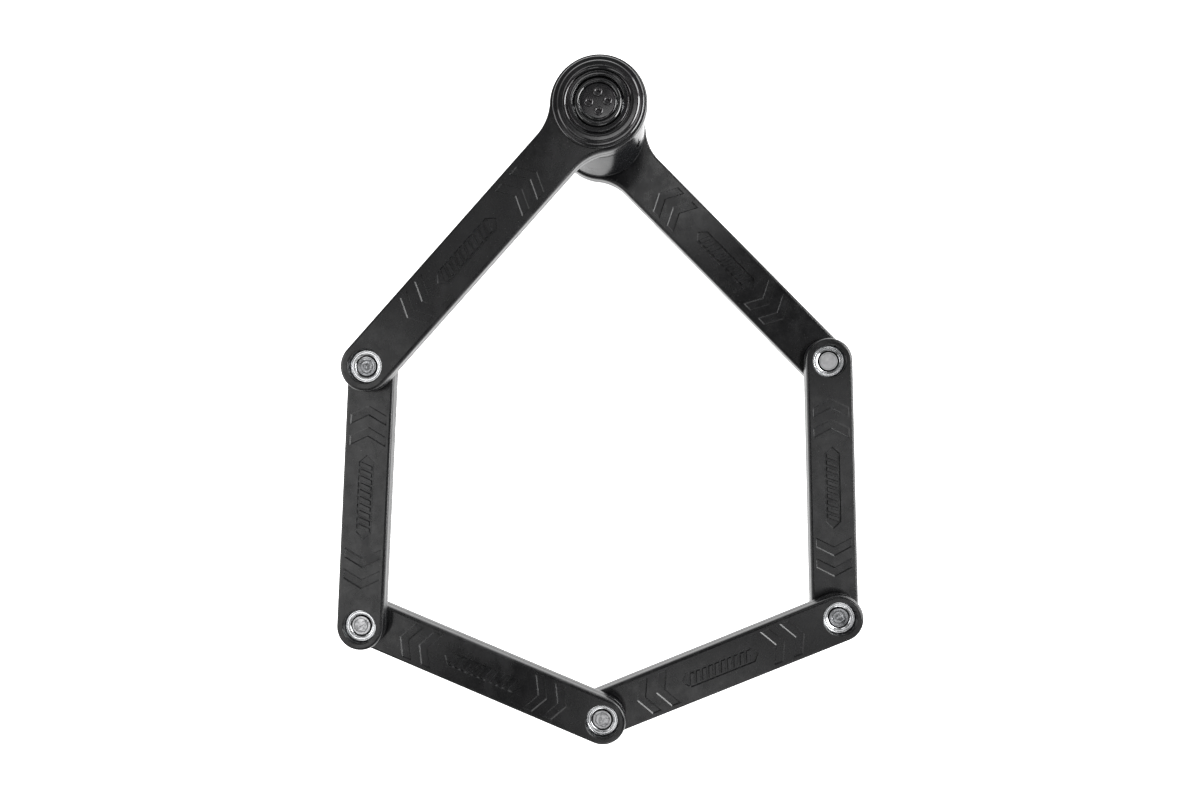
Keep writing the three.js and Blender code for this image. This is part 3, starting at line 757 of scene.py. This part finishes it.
def ferrule_mesh(name):
    """Bright ring with a fallen outer edge, a turned groove and a chamfered inner lip."""
    top = FERRULE_TOP
    corners = [
        (RIVET_BORE, SEAT, 0),
        (FERRULE_R, SEAT, 0.1),
        (FERRULE_R, top - 0.42, 0.12),
        (7.72, top, 0.35),
        (7.25, top, 0.06),
        (7.15, top - 0.1, 0.05),
        (7.0, top - 0.1, 0.05),
        (6.9, top, 0.06),
        (6.3, top, 0.1),
        (6.1, top - 0.14, 0.06),
        (5.9, top - 0.12, 0.06),
        (5.5, top - 0.3, 0.12),
        (5.3, top - 0.55, 0.08),
        (5.3, LEDGE, 0),
        (RIVET_BORE, LEDGE, 0),
    ]
    return lathe(name, rounded(corners), 128)


def bump_at(r, centre, width):
    """Height of a smooth unit ridge at radius r."""
    return math.exp(-(((r - centre) / width) ** 2))


def peened_face(rng, style, rings=22):
    """Rows of (x, y, drop below the tip) over a rivet's formed end."""
    dents = []
    count, deepest = {"formed": (16, 0.05), "hammered": (30, 0.08), "sheared": (26, 0.04)}[style]
    for _ in range(count):
        a = rng.uniform(0, TAU)
        r = RIVET_R * 0.8 * math.sqrt(rng.random())
        spot = (r * math.cos(a), r * math.sin(a))
        dents.append((*spot, rng.uniform(0.5, 1.3), rng.uniform(0.3, 1.0) * deepest))
    rows = []
    for k in range(1, rings + 1):
        r = (RIVET_R - 0.5) * k / rings
        row = []
        for i in range(HEAD_SEGMENTS):
            a = TAU * i / HEAD_SEGMENTS
            x, y = r * math.cos(a), r * math.sin(a)
            drop = 0.09 * (r / RIVET_R) ** 2
            if style == "formed":  # a pip in a moat, with a ridge round it
                drop += 0.13 - 0.13 * bump_at(r, 0, 0.75) + 0.12 * bump_at(r, 1.5, 0.35)
                drop += 0.1 * bump_at(r, 3.1, 0.28) - 0.08 * bump_at(r, 3.75, 0.35)
            elif style == "hammered":
                drop += 0.04 + 0.05 * bump_at(r, 3.4, 0.3)
            else:
                drop += 0.02 + 0.05 * bump_at(r, 4.1, 0.2)
            for dx, dy, size, depth in dents:
                d = math.hypot(x - dx, y - dy) / size
                if d < 1:
                    drop += depth * (1 - d * d) ** 1.5
            row.append((x, y, min(max(drop, 0.0), 0.4)))
        rows.append(row)
    return rows


def rivet_mesh(name, seed, style):
    """Both peened heads and the shank, about the upper link's underside."""
    rng = random.Random(seed)
    tip = FERRULE_TOP - 0.05 - STACK_MID
    head = LEDGE + 0.3 - STACK_MID
    verts = []
    faces = []
    ends = []

    def bridge(a, b):
        for i in range(HEAD_SEGMENTS):
            j = (i + 1) % HEAD_SEGMENTS
            faces.append((a[i], b[i], b[j], a[j]))

    for side in (1, -1):
        rows = [[(x, y, tip - drop) for x, y, drop in row] for row in peened_face(rng, style)]
        centre = len(verts)
        verts.append((0, 0, STACK_MID + side * rows[0][0][2]))
        rim = [
            (RIVET_R - 0.3, tip - 0.14),
            (RIVET_R - 0.08, tip - 0.28),
            (RIVET_R, tip - 0.45),
            (RIVET_R, head),
            (3.0, head),
        ]
        for r, z in rim:
            turn = [TAU * i / HEAD_SEGMENTS for i in range(HEAD_SEGMENTS)]
            rows.append([(r * math.cos(a), r * math.sin(a), z) for a in turn])
        last = None
        for row in rows:
            ids = list(range(len(verts), len(verts) + HEAD_SEGMENTS))
            verts += [(x, y, STACK_MID + side * z) for x, y, z in row]
            if last is None:
                faces += [(centre, ids[i], ids[(i + 1) % HEAD_SEGMENTS]) for i in range(HEAD_SEGMENTS)]
            else:
                bridge(last, ids)
            last = ids
        ends.append(last)
    bridge(*ends)
    return new_mesh(name, verts, faces)


RIVET_STYLES = ("formed", "hammered", "hammered", "formed", "sheared")
RING_TONE = ((0.72, 0.73, 0.75), (0.88, 0.89, 0.90), (0.14, 0.26))
RIVET_SEED = 40


def build_hinges():
    """Each hinge's two bright rings and its peened rivet."""
    links = ["left_arm", "link_1", "link_2", "link_3", "link_4", "right_arm"]
    tones = {  # base, tint, roughness from and to
        "formed": ((0.36, 0.37, 0.39), (0.72, 0.73, 0.75), (0.2, 0.36)),
        "hammered": ((0.74, 0.74, 0.76), (0.92, 0.92, 0.93), (0.24, 0.4)),
        "sheared": ((0.58, 0.58, 0.59), (0.76, 0.76, 0.77), (0.34, 0.5)),
    }
    rivet_shade_and_grime = {  # painted shade with some grime, from and to, mm from the axis, and how dark: the outer band is the shade in the gap round the head
        "formed": ((1.25, 1.5, 0.45), (3.0, 3.2, 0.5), (4.7, 6, 1.0)),
        "hammered": ((3.3, 3.5, 0.5), (4.65, 6, 1.0)),
        "sheared": ((3.95, 4.15, 0.35), (4.65, 6, 1.0)),
    }
    # Painted shade for the rings, with some grime: the inner band darkens the bore, the outer one the ring's
    # side in its window, the thin ones its turned grooves.
    ring_shade_and_grime_plain = ((0, 5.28, 0.9), (6.0, 6.1, 0.3), (7.04, 7.12, 0.35), (8.0, 9, 0.8))
    ring_shade_and_grime_deep = ((0, 5.45, 1.0), (5.95, 6.15, 0.75), (8.0, 9, 0.8))
    for i, spot in enumerate(HINGES):
        name = f"hinge_{i + 1}"
        upper, lower = links[i], links[i + 1]
        style = RIVET_STYLES[i]
        ring_shade_and_grime = ring_shade_and_grime_deep if style == "sheared" else ring_shade_and_grime_plain
        bright = turned_material(f"{name}_bright", *RING_TONE, spot, ring_shade_and_grime)
        peened = turned_material(f"{name}_peened", *tones[style], spot, rivet_shade_and_grime[style], 0.8, 0.05)
        matrix = place(spot, layer(i))
        top = finish_mesh(new_object(f"{name}_upper_ring", ferrule_mesh("ring")), matrix)
        add_piece(top, upper, "bright_steel", bright, f"{name}_top_ferrule")
        flip = Matrix.Translation((0, 0, 2 * STACK_MID)) @ Matrix.Rotation(math.pi, 4, "X")
        low = new_object(f"{name}_lower_ring", ferrule_mesh("ring"))
        finish_mesh(low, matrix @ flip)
        add_piece(low, lower, "bright_steel", bright, f"{name}_bottom_ferrule")
        rivet = new_object(f"{name}_peened_rivet", rivet_mesh("rivet", RIVET_SEED + i, style))
        finish_mesh(rivet, matrix, 40)
        add_piece(rivet, upper, "bright_steel", peened, f"{name}_rivet")


# ---- upper eye ----------------------------------------------------------
def build_eye(cap):
    """Ringed cap: stepped rings round a centre disc with four tubular rivets."""
    base = layer(0)
    matrix = place(HEAD, base, heading(HEAD, HINGES[0]))
    ring = [
        (12.1, 6.3, 0),
        (19.8, 6.3, 0),
        (19.8, 7.3, 0.1),
        (21.6, 7.3, 0.1),
        (21.6, 7.55, 0.15),
        (21.1, 8.0, 0.4),
        (20.3, 8.15, 0.2),
        (19.5, 8.15, 0.25),
        (18.6, 8.8, 0.45),
        (16.2, 8.8, 0.6),
        (15.15, 8.1, 0.3),
        (15.05, 7.2, 0.1),
        (14.5, 7.2, 0.1),
        (14.4, 8.55, 0.3),
        (14.0, 8.78, 0.4),
        (13.3, 8.5, 0.5),
        (12.7, 8.5, 0.4),
        (12.2, 8.3, 0.3),
        (12.1, 7.6, 0.1),
    ]
    obj = finish_mesh(new_object("eye_outer_cap", lathe("cap", rounded(ring), 160)), matrix, 50)
    add_piece(obj, "left_arm", "cap_black", cap, "eye_cap_ring")
    middle = [
        (9.05, 5.2, 0),
        (11.55, 5.2, 0),
        (11.55, 7.5, 0.2),
        (10.6, 8.65, 0.9),
        (9.6, 8.65, 0.3),
        (9.05, 8.1, 0.25),
    ]
    obj = finish_mesh(new_object("eye_inner_cap", lathe("middle", rounded(middle), 128)), matrix, 50)
    add_piece(obj, "left_arm", "cap_black", cap, "eye_middle_ring")
    disc = [(0, 5.2, 0), (8.75, 5.2, 0), (8.75, 7.8, 0.1), (8.0, 8.3, 0.5), (0, 8.3, 0)]
    obj = new_object("eye_face_disc", lathe("disc", rounded(disc), 128, closed=False))
    spots = [on_circle(CAP_RIVET_CIRCLE, 90 * i + 45) for i in range(4)]
    cut(obj, [drum("hole", 1.5, 4, 10, x, y, 32) for x, y in spots])
    finish_mesh(obj, matrix, 50)
    add_piece(obj, "left_arm", "cap_black", cap, "eye_centre_disc")
    tube = [
        (0, 3.6, 0),
        (1.2, 3.6, 0),
        (1.2, 8.38, 0),
        (2.2, 8.38, 0.1),
        (2.15, 8.75, 0.2),
        (1.75, 9.1, 0.25),
        (1.3, 9.0, 0.15),
        (0.85, 8.5, 0.15),
        (0.75, 8.25, 0.1),
        (0.3, 8.45, 0.2),
        (0, 8.5, 0),
    ]
    for i, (x, y) in enumerate(spots):
        obj = new_object(f"eye_rivet_{i + 1}", lathe("tube", rounded(tube), 48, closed=False))
        finish_mesh(obj, matrix @ Matrix.Translation((x, y, 0)), 50)
        add_piece(obj, "left_arm", "cap_black", cap, f"cap_rivet_{i + 1}")


# ---- head ---------------------------------------------------------------
def mouth(radius, z0, z1):
    """Cutter for the jaw's open side: every way a disc of this radius can leave."""
    far = 40
    edge = 90 - MOUTH_HALF_ANGLE
    tangent_low = on_circle(radius, -edge)
    tangent_high = on_circle(radius, edge)
    low_step = on_circle(far, -90 - edge)
    high_step = on_circle(far, 90 + edge)
    low = (tangent_low[0] + low_step[0], tangent_low[1] + low_step[1])
    high = (tangent_high[0] + high_step[0], tangent_high[1] + high_step[1])
    points = arc(0, 0, radius, -edge, edge, 24) + [high, (-2 * far, high[1]), (-2 * far, low[1]), low]
    return prism("mouth", points, z0, z1)


def radial_drum(radius, r0, r1, height, degrees, segments=48):
    """Cutter for a bore that runs outwards from the head's axis."""
    mesh = drum("bore", radius, r0, r1, segments=segments)
    mesh.transform(Matrix.Rotation(math.pi / 2, 4, "Y"))
    mesh.transform(Matrix.Rotation(math.radians(degrees), 4, "Z") @ Matrix.Translation((0, 0, height)))
    return mesh


def side_slot(degrees, z0, z1, half_width=0.4, depth=1.3):
    """Cutter for the narrow upright slot in the housing's side."""
    near, far = HOUSING_R - depth, HOUSING_R + 1
    outline = [(near, -half_width), (far, -half_width), (far, half_width), (near, half_width)]
    mesh = prism("slot", outline, z0, z1)
    mesh.transform(Matrix.Rotation(math.radians(degrees), 4, "Z"))
    return mesh


def build_housing(gloss, dark_steel):
    """The head's round body with its jaw, and the screw in its side."""
    matrix = place(HEAD, 0)
    body = [
        (CORE_BORE, 3.0, 0.2),
        (15.0, 3.0, 0.3),
        (15.0, HOUSING_BOTTOM, 0),
        (HOUSING_R - 0.35, HOUSING_BOTTOM, 0.25),
        (HOUSING_R, HOUSING_BOTTOM + 0.45, 0.25),
        (HOUSING_R, HOUSING_BOTTOM + 1.0, 0.2),
        (HOUSING_R - 0.3, HOUSING_BOTTOM + 1.25, 0.15),
        (HOUSING_R - 0.3, HOUSING_BOTTOM + 1.6, 0.15),
        (HOUSING_R - 0.05, HOUSING_BOTTOM + 1.9, 0.3),
        (HOUSING_R - 0.05, HOUSING_TOP, 0.35),
        (STUD_POCKET_R, HOUSING_TOP, 0.2),
        (STUD_POCKET_R, STUD_POCKET_FLOOR, 0),
        (CORE_BORE, STUD_POCKET_FLOOR, 0),
    ]
    obj = new_object("head_body", lathe("body", rounded(body), 160))
    cut(
        obj,
        [
            mouth(STUD_FLANGE_WAY, 29.6, HOUSING_TOP + 1),
            radial_drum(1.9, 7, 30, DETENT_HEIGHT, DETENT_DEGREES),
            side_slot(DETENT_DEGREES, *SIDE_SLOT),
        ],
    )
    finish_mesh(obj, matrix)
    add_piece(obj, "head", "gloss_black", gloss, "head_housing")
    low, high = HOUSING_TOP + 0.3, JAW_TOP
    lip = [(0, low, 0), (HOUSING_R, low, 0.25), (HOUSING_R, high, 0.5), (0, high, 0)]
    obj = new_object("head_lip", lathe("lip", rounded(lip), 160, closed=False))
    tools = [mouth(STUD_NECK_WAY, 30, 40)]
    for degrees in (-JAW_SCREW_DEGREES, JAW_SCREW_DEGREES):
        x, y = on_circle(JAW_SCREW_CIRCLE, degrees)
        tools += [drum("hole", 1.4, 30, 36, x, y, 32), drum("seat", 2.5, 35.6, 40, x, y, 48)]
    cut(obj, tools)
    finish_mesh(obj, matrix)
    add_piece(obj, "head", "gloss_black", gloss, "jaw_plate")
    plug = [(0, 17.3, 0), (1.6, 17.3, 0.2), (1.6, 21.5, 0.25), (0, 21.5, 0)]
    mesh = lathe("plug", rounded(plug), 48, closed=False)
    obj = new_object("head_side_screw", mesh)
    slot_points = [(-2.0, -0.35), (2.0, -0.35), (2.0, 0.35), (-2.0, 0.35)]
    cut(obj, [prism("slot", slot_points, 20.6, 23)])
    lie = Matrix.Rotation(math.radians(DETENT_DEGREES), 4, "Z") @ Matrix.Translation((0, 0, DETENT_HEIGHT))
    finish_mesh(obj, matrix @ lie @ Matrix.Rotation(math.pi / 2, 4, "Y"))
    add_piece(obj, "head", "fittings_steel", dark_steel, "detent_screw")


def leaf_points(extra, degrees, steps=24):
    """Outline of the keyhole's shutter, grown by extra and swung by degrees about its pivot."""
    eye = 2.4 + extra
    blade = KEYHOLE_R + 0.6 + extra
    turn = math.degrees(math.asin((blade - eye) / SHUTTER_PIVOT))
    points = arc(0, 0, eye, turn, 180 - turn, 12)
    points += arc(0, -SHUTTER_PIVOT, blade, 180 - turn, 360 + turn, steps)
    a = math.radians(degrees)
    out = []
    for x, y in without_doubles(points):
        out.append((x * math.cos(a) - y * math.sin(a), SHUTTER_PIVOT + x * math.sin(a) + y * math.cos(a)))
    return out


def screw_mesh(name, top, head_r, shank_r, length):
    """Socket screw with its chamfered head upwards."""
    corners = [
        (0, top - length, 0),
        (shank_r, top - length, 0.2),
        (shank_r, top - 1.2, 0),
        (head_r, top - 1.2, 0.15),
        (head_r, top, 0.3),
        (0, top, 0),
    ]
    mesh = lathe(name, rounded(corners), 40, closed=False)
    tool = new_object(name, mesh)
    hexagon = arc(0, 0, 1.0, 0, 300, 5)
    cut(tool, [prism("socket", hexagon, top - 0.8, top + 1)])
    mesh = tool.data
    bpy.data.objects.remove(tool)
    return mesh


def build_base(gloss, steel):
    """The head's underside: base plate, its screws and the keyhole's swinging shutter."""
    matrix = place(HEAD, 0)
    plate = [(0, 0, 0), (BASE_R - 0.4, 0, 0.3), (BASE_R, 0.4, 0.2), (BASE_R, 2.7, 0.2), (0, 2.7, 0)]
    obj = new_object("head_base", lathe("plate", rounded(plate), 128, closed=False))
    spots = [on_circle(BASE_SCREW_CIRCLE, a) for a in (150, 230, 310)]
    tools = [drum("keyhole", KEYHOLE_R, -1, 4, 0, 0, 64)]
    tools += [prism("recess", leaf_points(0.4, a), -1, 1.7) for a in range(0, 73, 9)]
    for x, y in spots:
        tools += [drum("hole", 1.5, -1, 4, x, y, 32), drum("seat", 2.5, -1, 1.7, x, y, 48)]
    cut(obj, tools)
    profile = [(0, 0.45, 0), (1.1, 0.45, 0.15), (1.1, 2.2, 0), (0, 2.2, 0)]
    pin = lathe("pin", rounded(profile), 40, closed=False)
    pin.transform(Matrix.Translation((0, SHUTTER_PIVOT, 0)))
    cut(obj, [pin], "UNION")
    finish_mesh(obj, matrix)
    add_piece(obj, "head", "gloss_black", gloss, "base_plate")
    for i, (x, y) in enumerate(spots):  # screws turned over, their heads 0.2 mm inside the plate's face
        mesh = screw_mesh("screw", 0.2, 2.2, 1.2, 6.4)
        mesh.transform(Matrix.Translation((0, 0, 0.4)) @ Matrix.Rotation(math.pi, 4, "X"))
        obj = new_object(f"head_base_screw_{i + 1}", mesh)
        finish_mesh(obj, matrix @ Matrix.Translation((x, y, 0)))
        add_piece(obj, "head", "fittings_steel", steel, f"base_screw_{i + 1}")
    leaf = prism("leaf", leaf_points(0, 0, 40), 0.4, 1.4)
    obj = new_object("head_shutter", leaf)
    cut(obj, [drum("eye", 1.45, 0, 3, 0, SHUTTER_PIVOT, 40)])
    bevel = obj.modifiers.new("edge", "BEVEL")
    bevel.width = 0.18
    bevel.segments = 3
    bevel.limit_method = "ANGLE"
    apply_modifiers(obj)
    finish_mesh(obj, matrix)
    add_piece(obj, "shutter", "fittings_steel", steel, "keyhole_shutter")


def build_stud(bright):
    """Flanged stud under the upper eye, caught by the jaw."""
    base = layer(0)
    stud = [
        (0, 30.0, 0),
        (9.0, 30.0, 0.5),
        (9.0, 34.0, 0.35),
        (5.0, 34.0, 0.4),
        (5.0, base + 3.3, 0),
        (11.9, base + 3.3, 0),
        (11.9, base + 4.9, 0.2),
        (0, base + 4.9, 0),
    ]
    obj = new_object("locking_stud_turned", lathe("stud", rounded(stud), 96, closed=False))
    finish_mesh(obj, place(HEAD, 0))
    add_piece(obj, "left_arm", "bright_steel", bright, "locking_stud")


def dress_cad_nodes(bar, brass, screw_steel, bright):
    """Materials for the inner pieces that keep their CAD shape."""
    for name, node in frame["nodes"].items():
        if node.hide_render:
            continue
        if name.endswith("_bar") and not name.startswith("core"):
            material = bar
        elif any(word in name for word in ("spacer", "disc", "washer", "key_core", "core_end")):
            material = brass
        elif name in ("detent_ball", "detent_spring"):
            material = bright
        else:
            material = screw_steel
        node.data.materials.clear()
        node.data.materials.append(material)
        node.data.set_sharp_from_angle(angle=math.radians(35))


# ---- stage --------------------------------------------------------------
def floor_material():
    """White floor with a glow of its own, so it stays white under the lock. It is clear from below."""
    s = Shader("studio_floor")
    s.link(s.mix(s.noise(60, 2, 0.5), (0.88, 0.88, 0.88), (0.90, 0.90, 0.90)), s.bsdf.inputs["Base Color"])
    s.set(Roughness=0.9, Specular_IOR_Level=0.1)
    s.set(Emission_Color=(1, 1, 1, 1), Emission_Strength=FLOOR_GLOW)
    clear = s.node("ShaderNodeBsdfTransparent")
    side = s.node("ShaderNodeNewGeometry")
    blend = s.node("ShaderNodeMixShader")
    s.link(side.outputs["Backfacing"], blend.inputs[0])
    s.link(s.bsdf.outputs[0], blend.inputs[1])
    s.link(clear.outputs[0], blend.inputs[2])
    s.link(blend.outputs[0], s.tree.nodes["Material Output"].inputs["Surface"])
    return s.material


# Stage sizes are in metres.
FLOOR_HALF = 3.0
FLOOR_GAP = 0.0002
CEILING = 1.5
# Name, place, width, height, radiance. Boxes at the ceiling face down, the others face the lock.
SOFTBOXES = [
    ("left_strip", (-0.77, -0.29, CEILING), 0.36, 1.05, 1.8),
    ("right_strip", (0.57, -0.3, CEILING), 0.32, 0.7, 1.4),
    ("near_strip", (0.16, -0.88, CEILING), 0.56, 0.32, 1.6),
    ("back", (0.1, 0.62, CEILING), 0.4, 0.32, 2.3),
    ("back_left", (-0.42, 0.46, CEILING), 0.36, 0.36, 0.6),
    ("right", (1.1, 0.17, 0.5), 1.2, 0.5, 10.0),
    ("back_right", (0.85, 0.98, 0.4), 0.4, 0.4, 4.0),
    ("left_low", (-1.12, 0.0, 0.45), 0.9, 0.5, 2.0),
    ("near_low", (0.3, -1.2, 0.4), 0.8, 0.3, 2.5),
]
FLOOR_GLOW = 1.9
AIM = Vector((0, 0, 0.02))
WORLD_STOPS = ((0.0, 1.0), (0.12, 0.75), (0.4, 0.2), (1.0, 0.04))  # upward slope, brightness
# Camera fitted to the six joint centres in the photo; lens and sensor in mm.
SENSOR_WIDTH = 36
LENS = 19.10
CAMERA_MM = (17.36, 7.01, 343.94)
CAMERA_DEGREES = (-0.479, 3.110, -0.277)


def build_stage():
    """Floor, world and softboxes."""
    size = FLOOR_HALF
    corners = [(-size, -size, 0), (size, -size, 0), (size, size, 0), (-size, size, 0)]
    mesh = new_mesh("floor", corners, [(0, 1, 2, 3)])
    floor = new_object("floor", mesh)
    floor.location.z = -FLOOR_GAP
    floor.data.materials.append(floor_material())
    build_world()
    for name, spot, width, height, radiance in SOFTBOXES:
        light = bpy.data.lights.new(name, "AREA")
        light.shape = "RECTANGLE"
        light.size = width
        light.size_y = height
        light.energy = radiance * math.pi * width * height
        lamp = bpy.data.objects.new(name, light)
        bpy.context.scene.collection.objects.link(lamp)
        lamp.location = spot
        if spot[2] < CEILING:
            lamp.rotation_euler = (AIM - Vector(spot)).to_track_quat("-Z", "Y").to_euler()
        lamp.visible_camera = False
    bpy.context.scene.view_settings.view_transform = "Standard"


def build_world():
    """Pale at the horizon, darker overhead."""
    world = bpy.data.worlds.new("studio")
    bpy.context.scene.world = world
    world.use_nodes = True
    tree = world.node_tree
    coords = tree.nodes.new("ShaderNodeTexCoord")
    split = tree.nodes.new("ShaderNodeSeparateXYZ")
    ramp = tree.nodes.new("ShaderNodeValToRGB")
    tree.links.new(coords.outputs["Generated"], split.inputs[0])
    tree.links.new(split.outputs["Z"], ramp.inputs["Fac"])
    tree.links.new(ramp.outputs["Color"], tree.nodes["Background"].inputs["Color"])
    while len(ramp.color_ramp.elements) < len(WORLD_STOPS):
        ramp.color_ramp.elements.new(0.5)
    for element, (position, value) in zip(ramp.color_ramp.elements, WORLD_STOPS):
        element.position = position
        element.color = (value, value, value, 1)
    tree.nodes["Background"].inputs["Strength"].default_value = 1.0


def build_camera():
    """Close above the loop, a little off centre, with a wide lens."""
    camera = bpy.data.cameras.new("camera")
    camera.sensor_width = SENSOR_WIDTH
    camera.lens = LENS
    camera.clip_start = 0.01
    obj = bpy.data.objects.new("camera", camera)
    bpy.context.scene.collection.objects.link(obj)
    obj.location = Vector(CAMERA_MM) * MM
    obj.rotation_euler = [math.radians(a) for a in CAMERA_DEGREES]
    bpy.context.scene.camera = obj


def main():
    """Materials first, then the stage and every visible piece."""
    cover = cover_material("cover_satin")
    pressed = cover_material("cover_pressed", pressed=True)
    gloss = gloss_material("gloss_black")
    cap = cap_material()
    brass = turned_material("machined_brass", (0.50, 0.38, 0.17), (0.62, 0.48, 0.24), (0.25, 0.42))
    screw_steel = turned_material("machined_steel", (0.33, 0.34, 0.35), (0.5, 0.51, 0.52), (0.25, 0.4))
    dark_steel = turned_material("black_oxide", (0.010, 0.010, 0.011), (0.022, 0.022, 0.024), (0.35, 0.5))
    bright = turned_material("bright_turned", (0.72, 0.73, 0.75), (0.84, 0.85, 0.86), (0.16, 0.3), HEAD)
    build_camera()
    build_stage()
    build_covers((cover, pressed))
    build_hinges()
    build_eye(cap)
    build_housing(gloss, dark_steel)
    build_base(gloss, screw_steel)
    build_stud(bright)
    dress_cad_nodes(steel_bar_material(), brass, screw_steel, bright)


main()
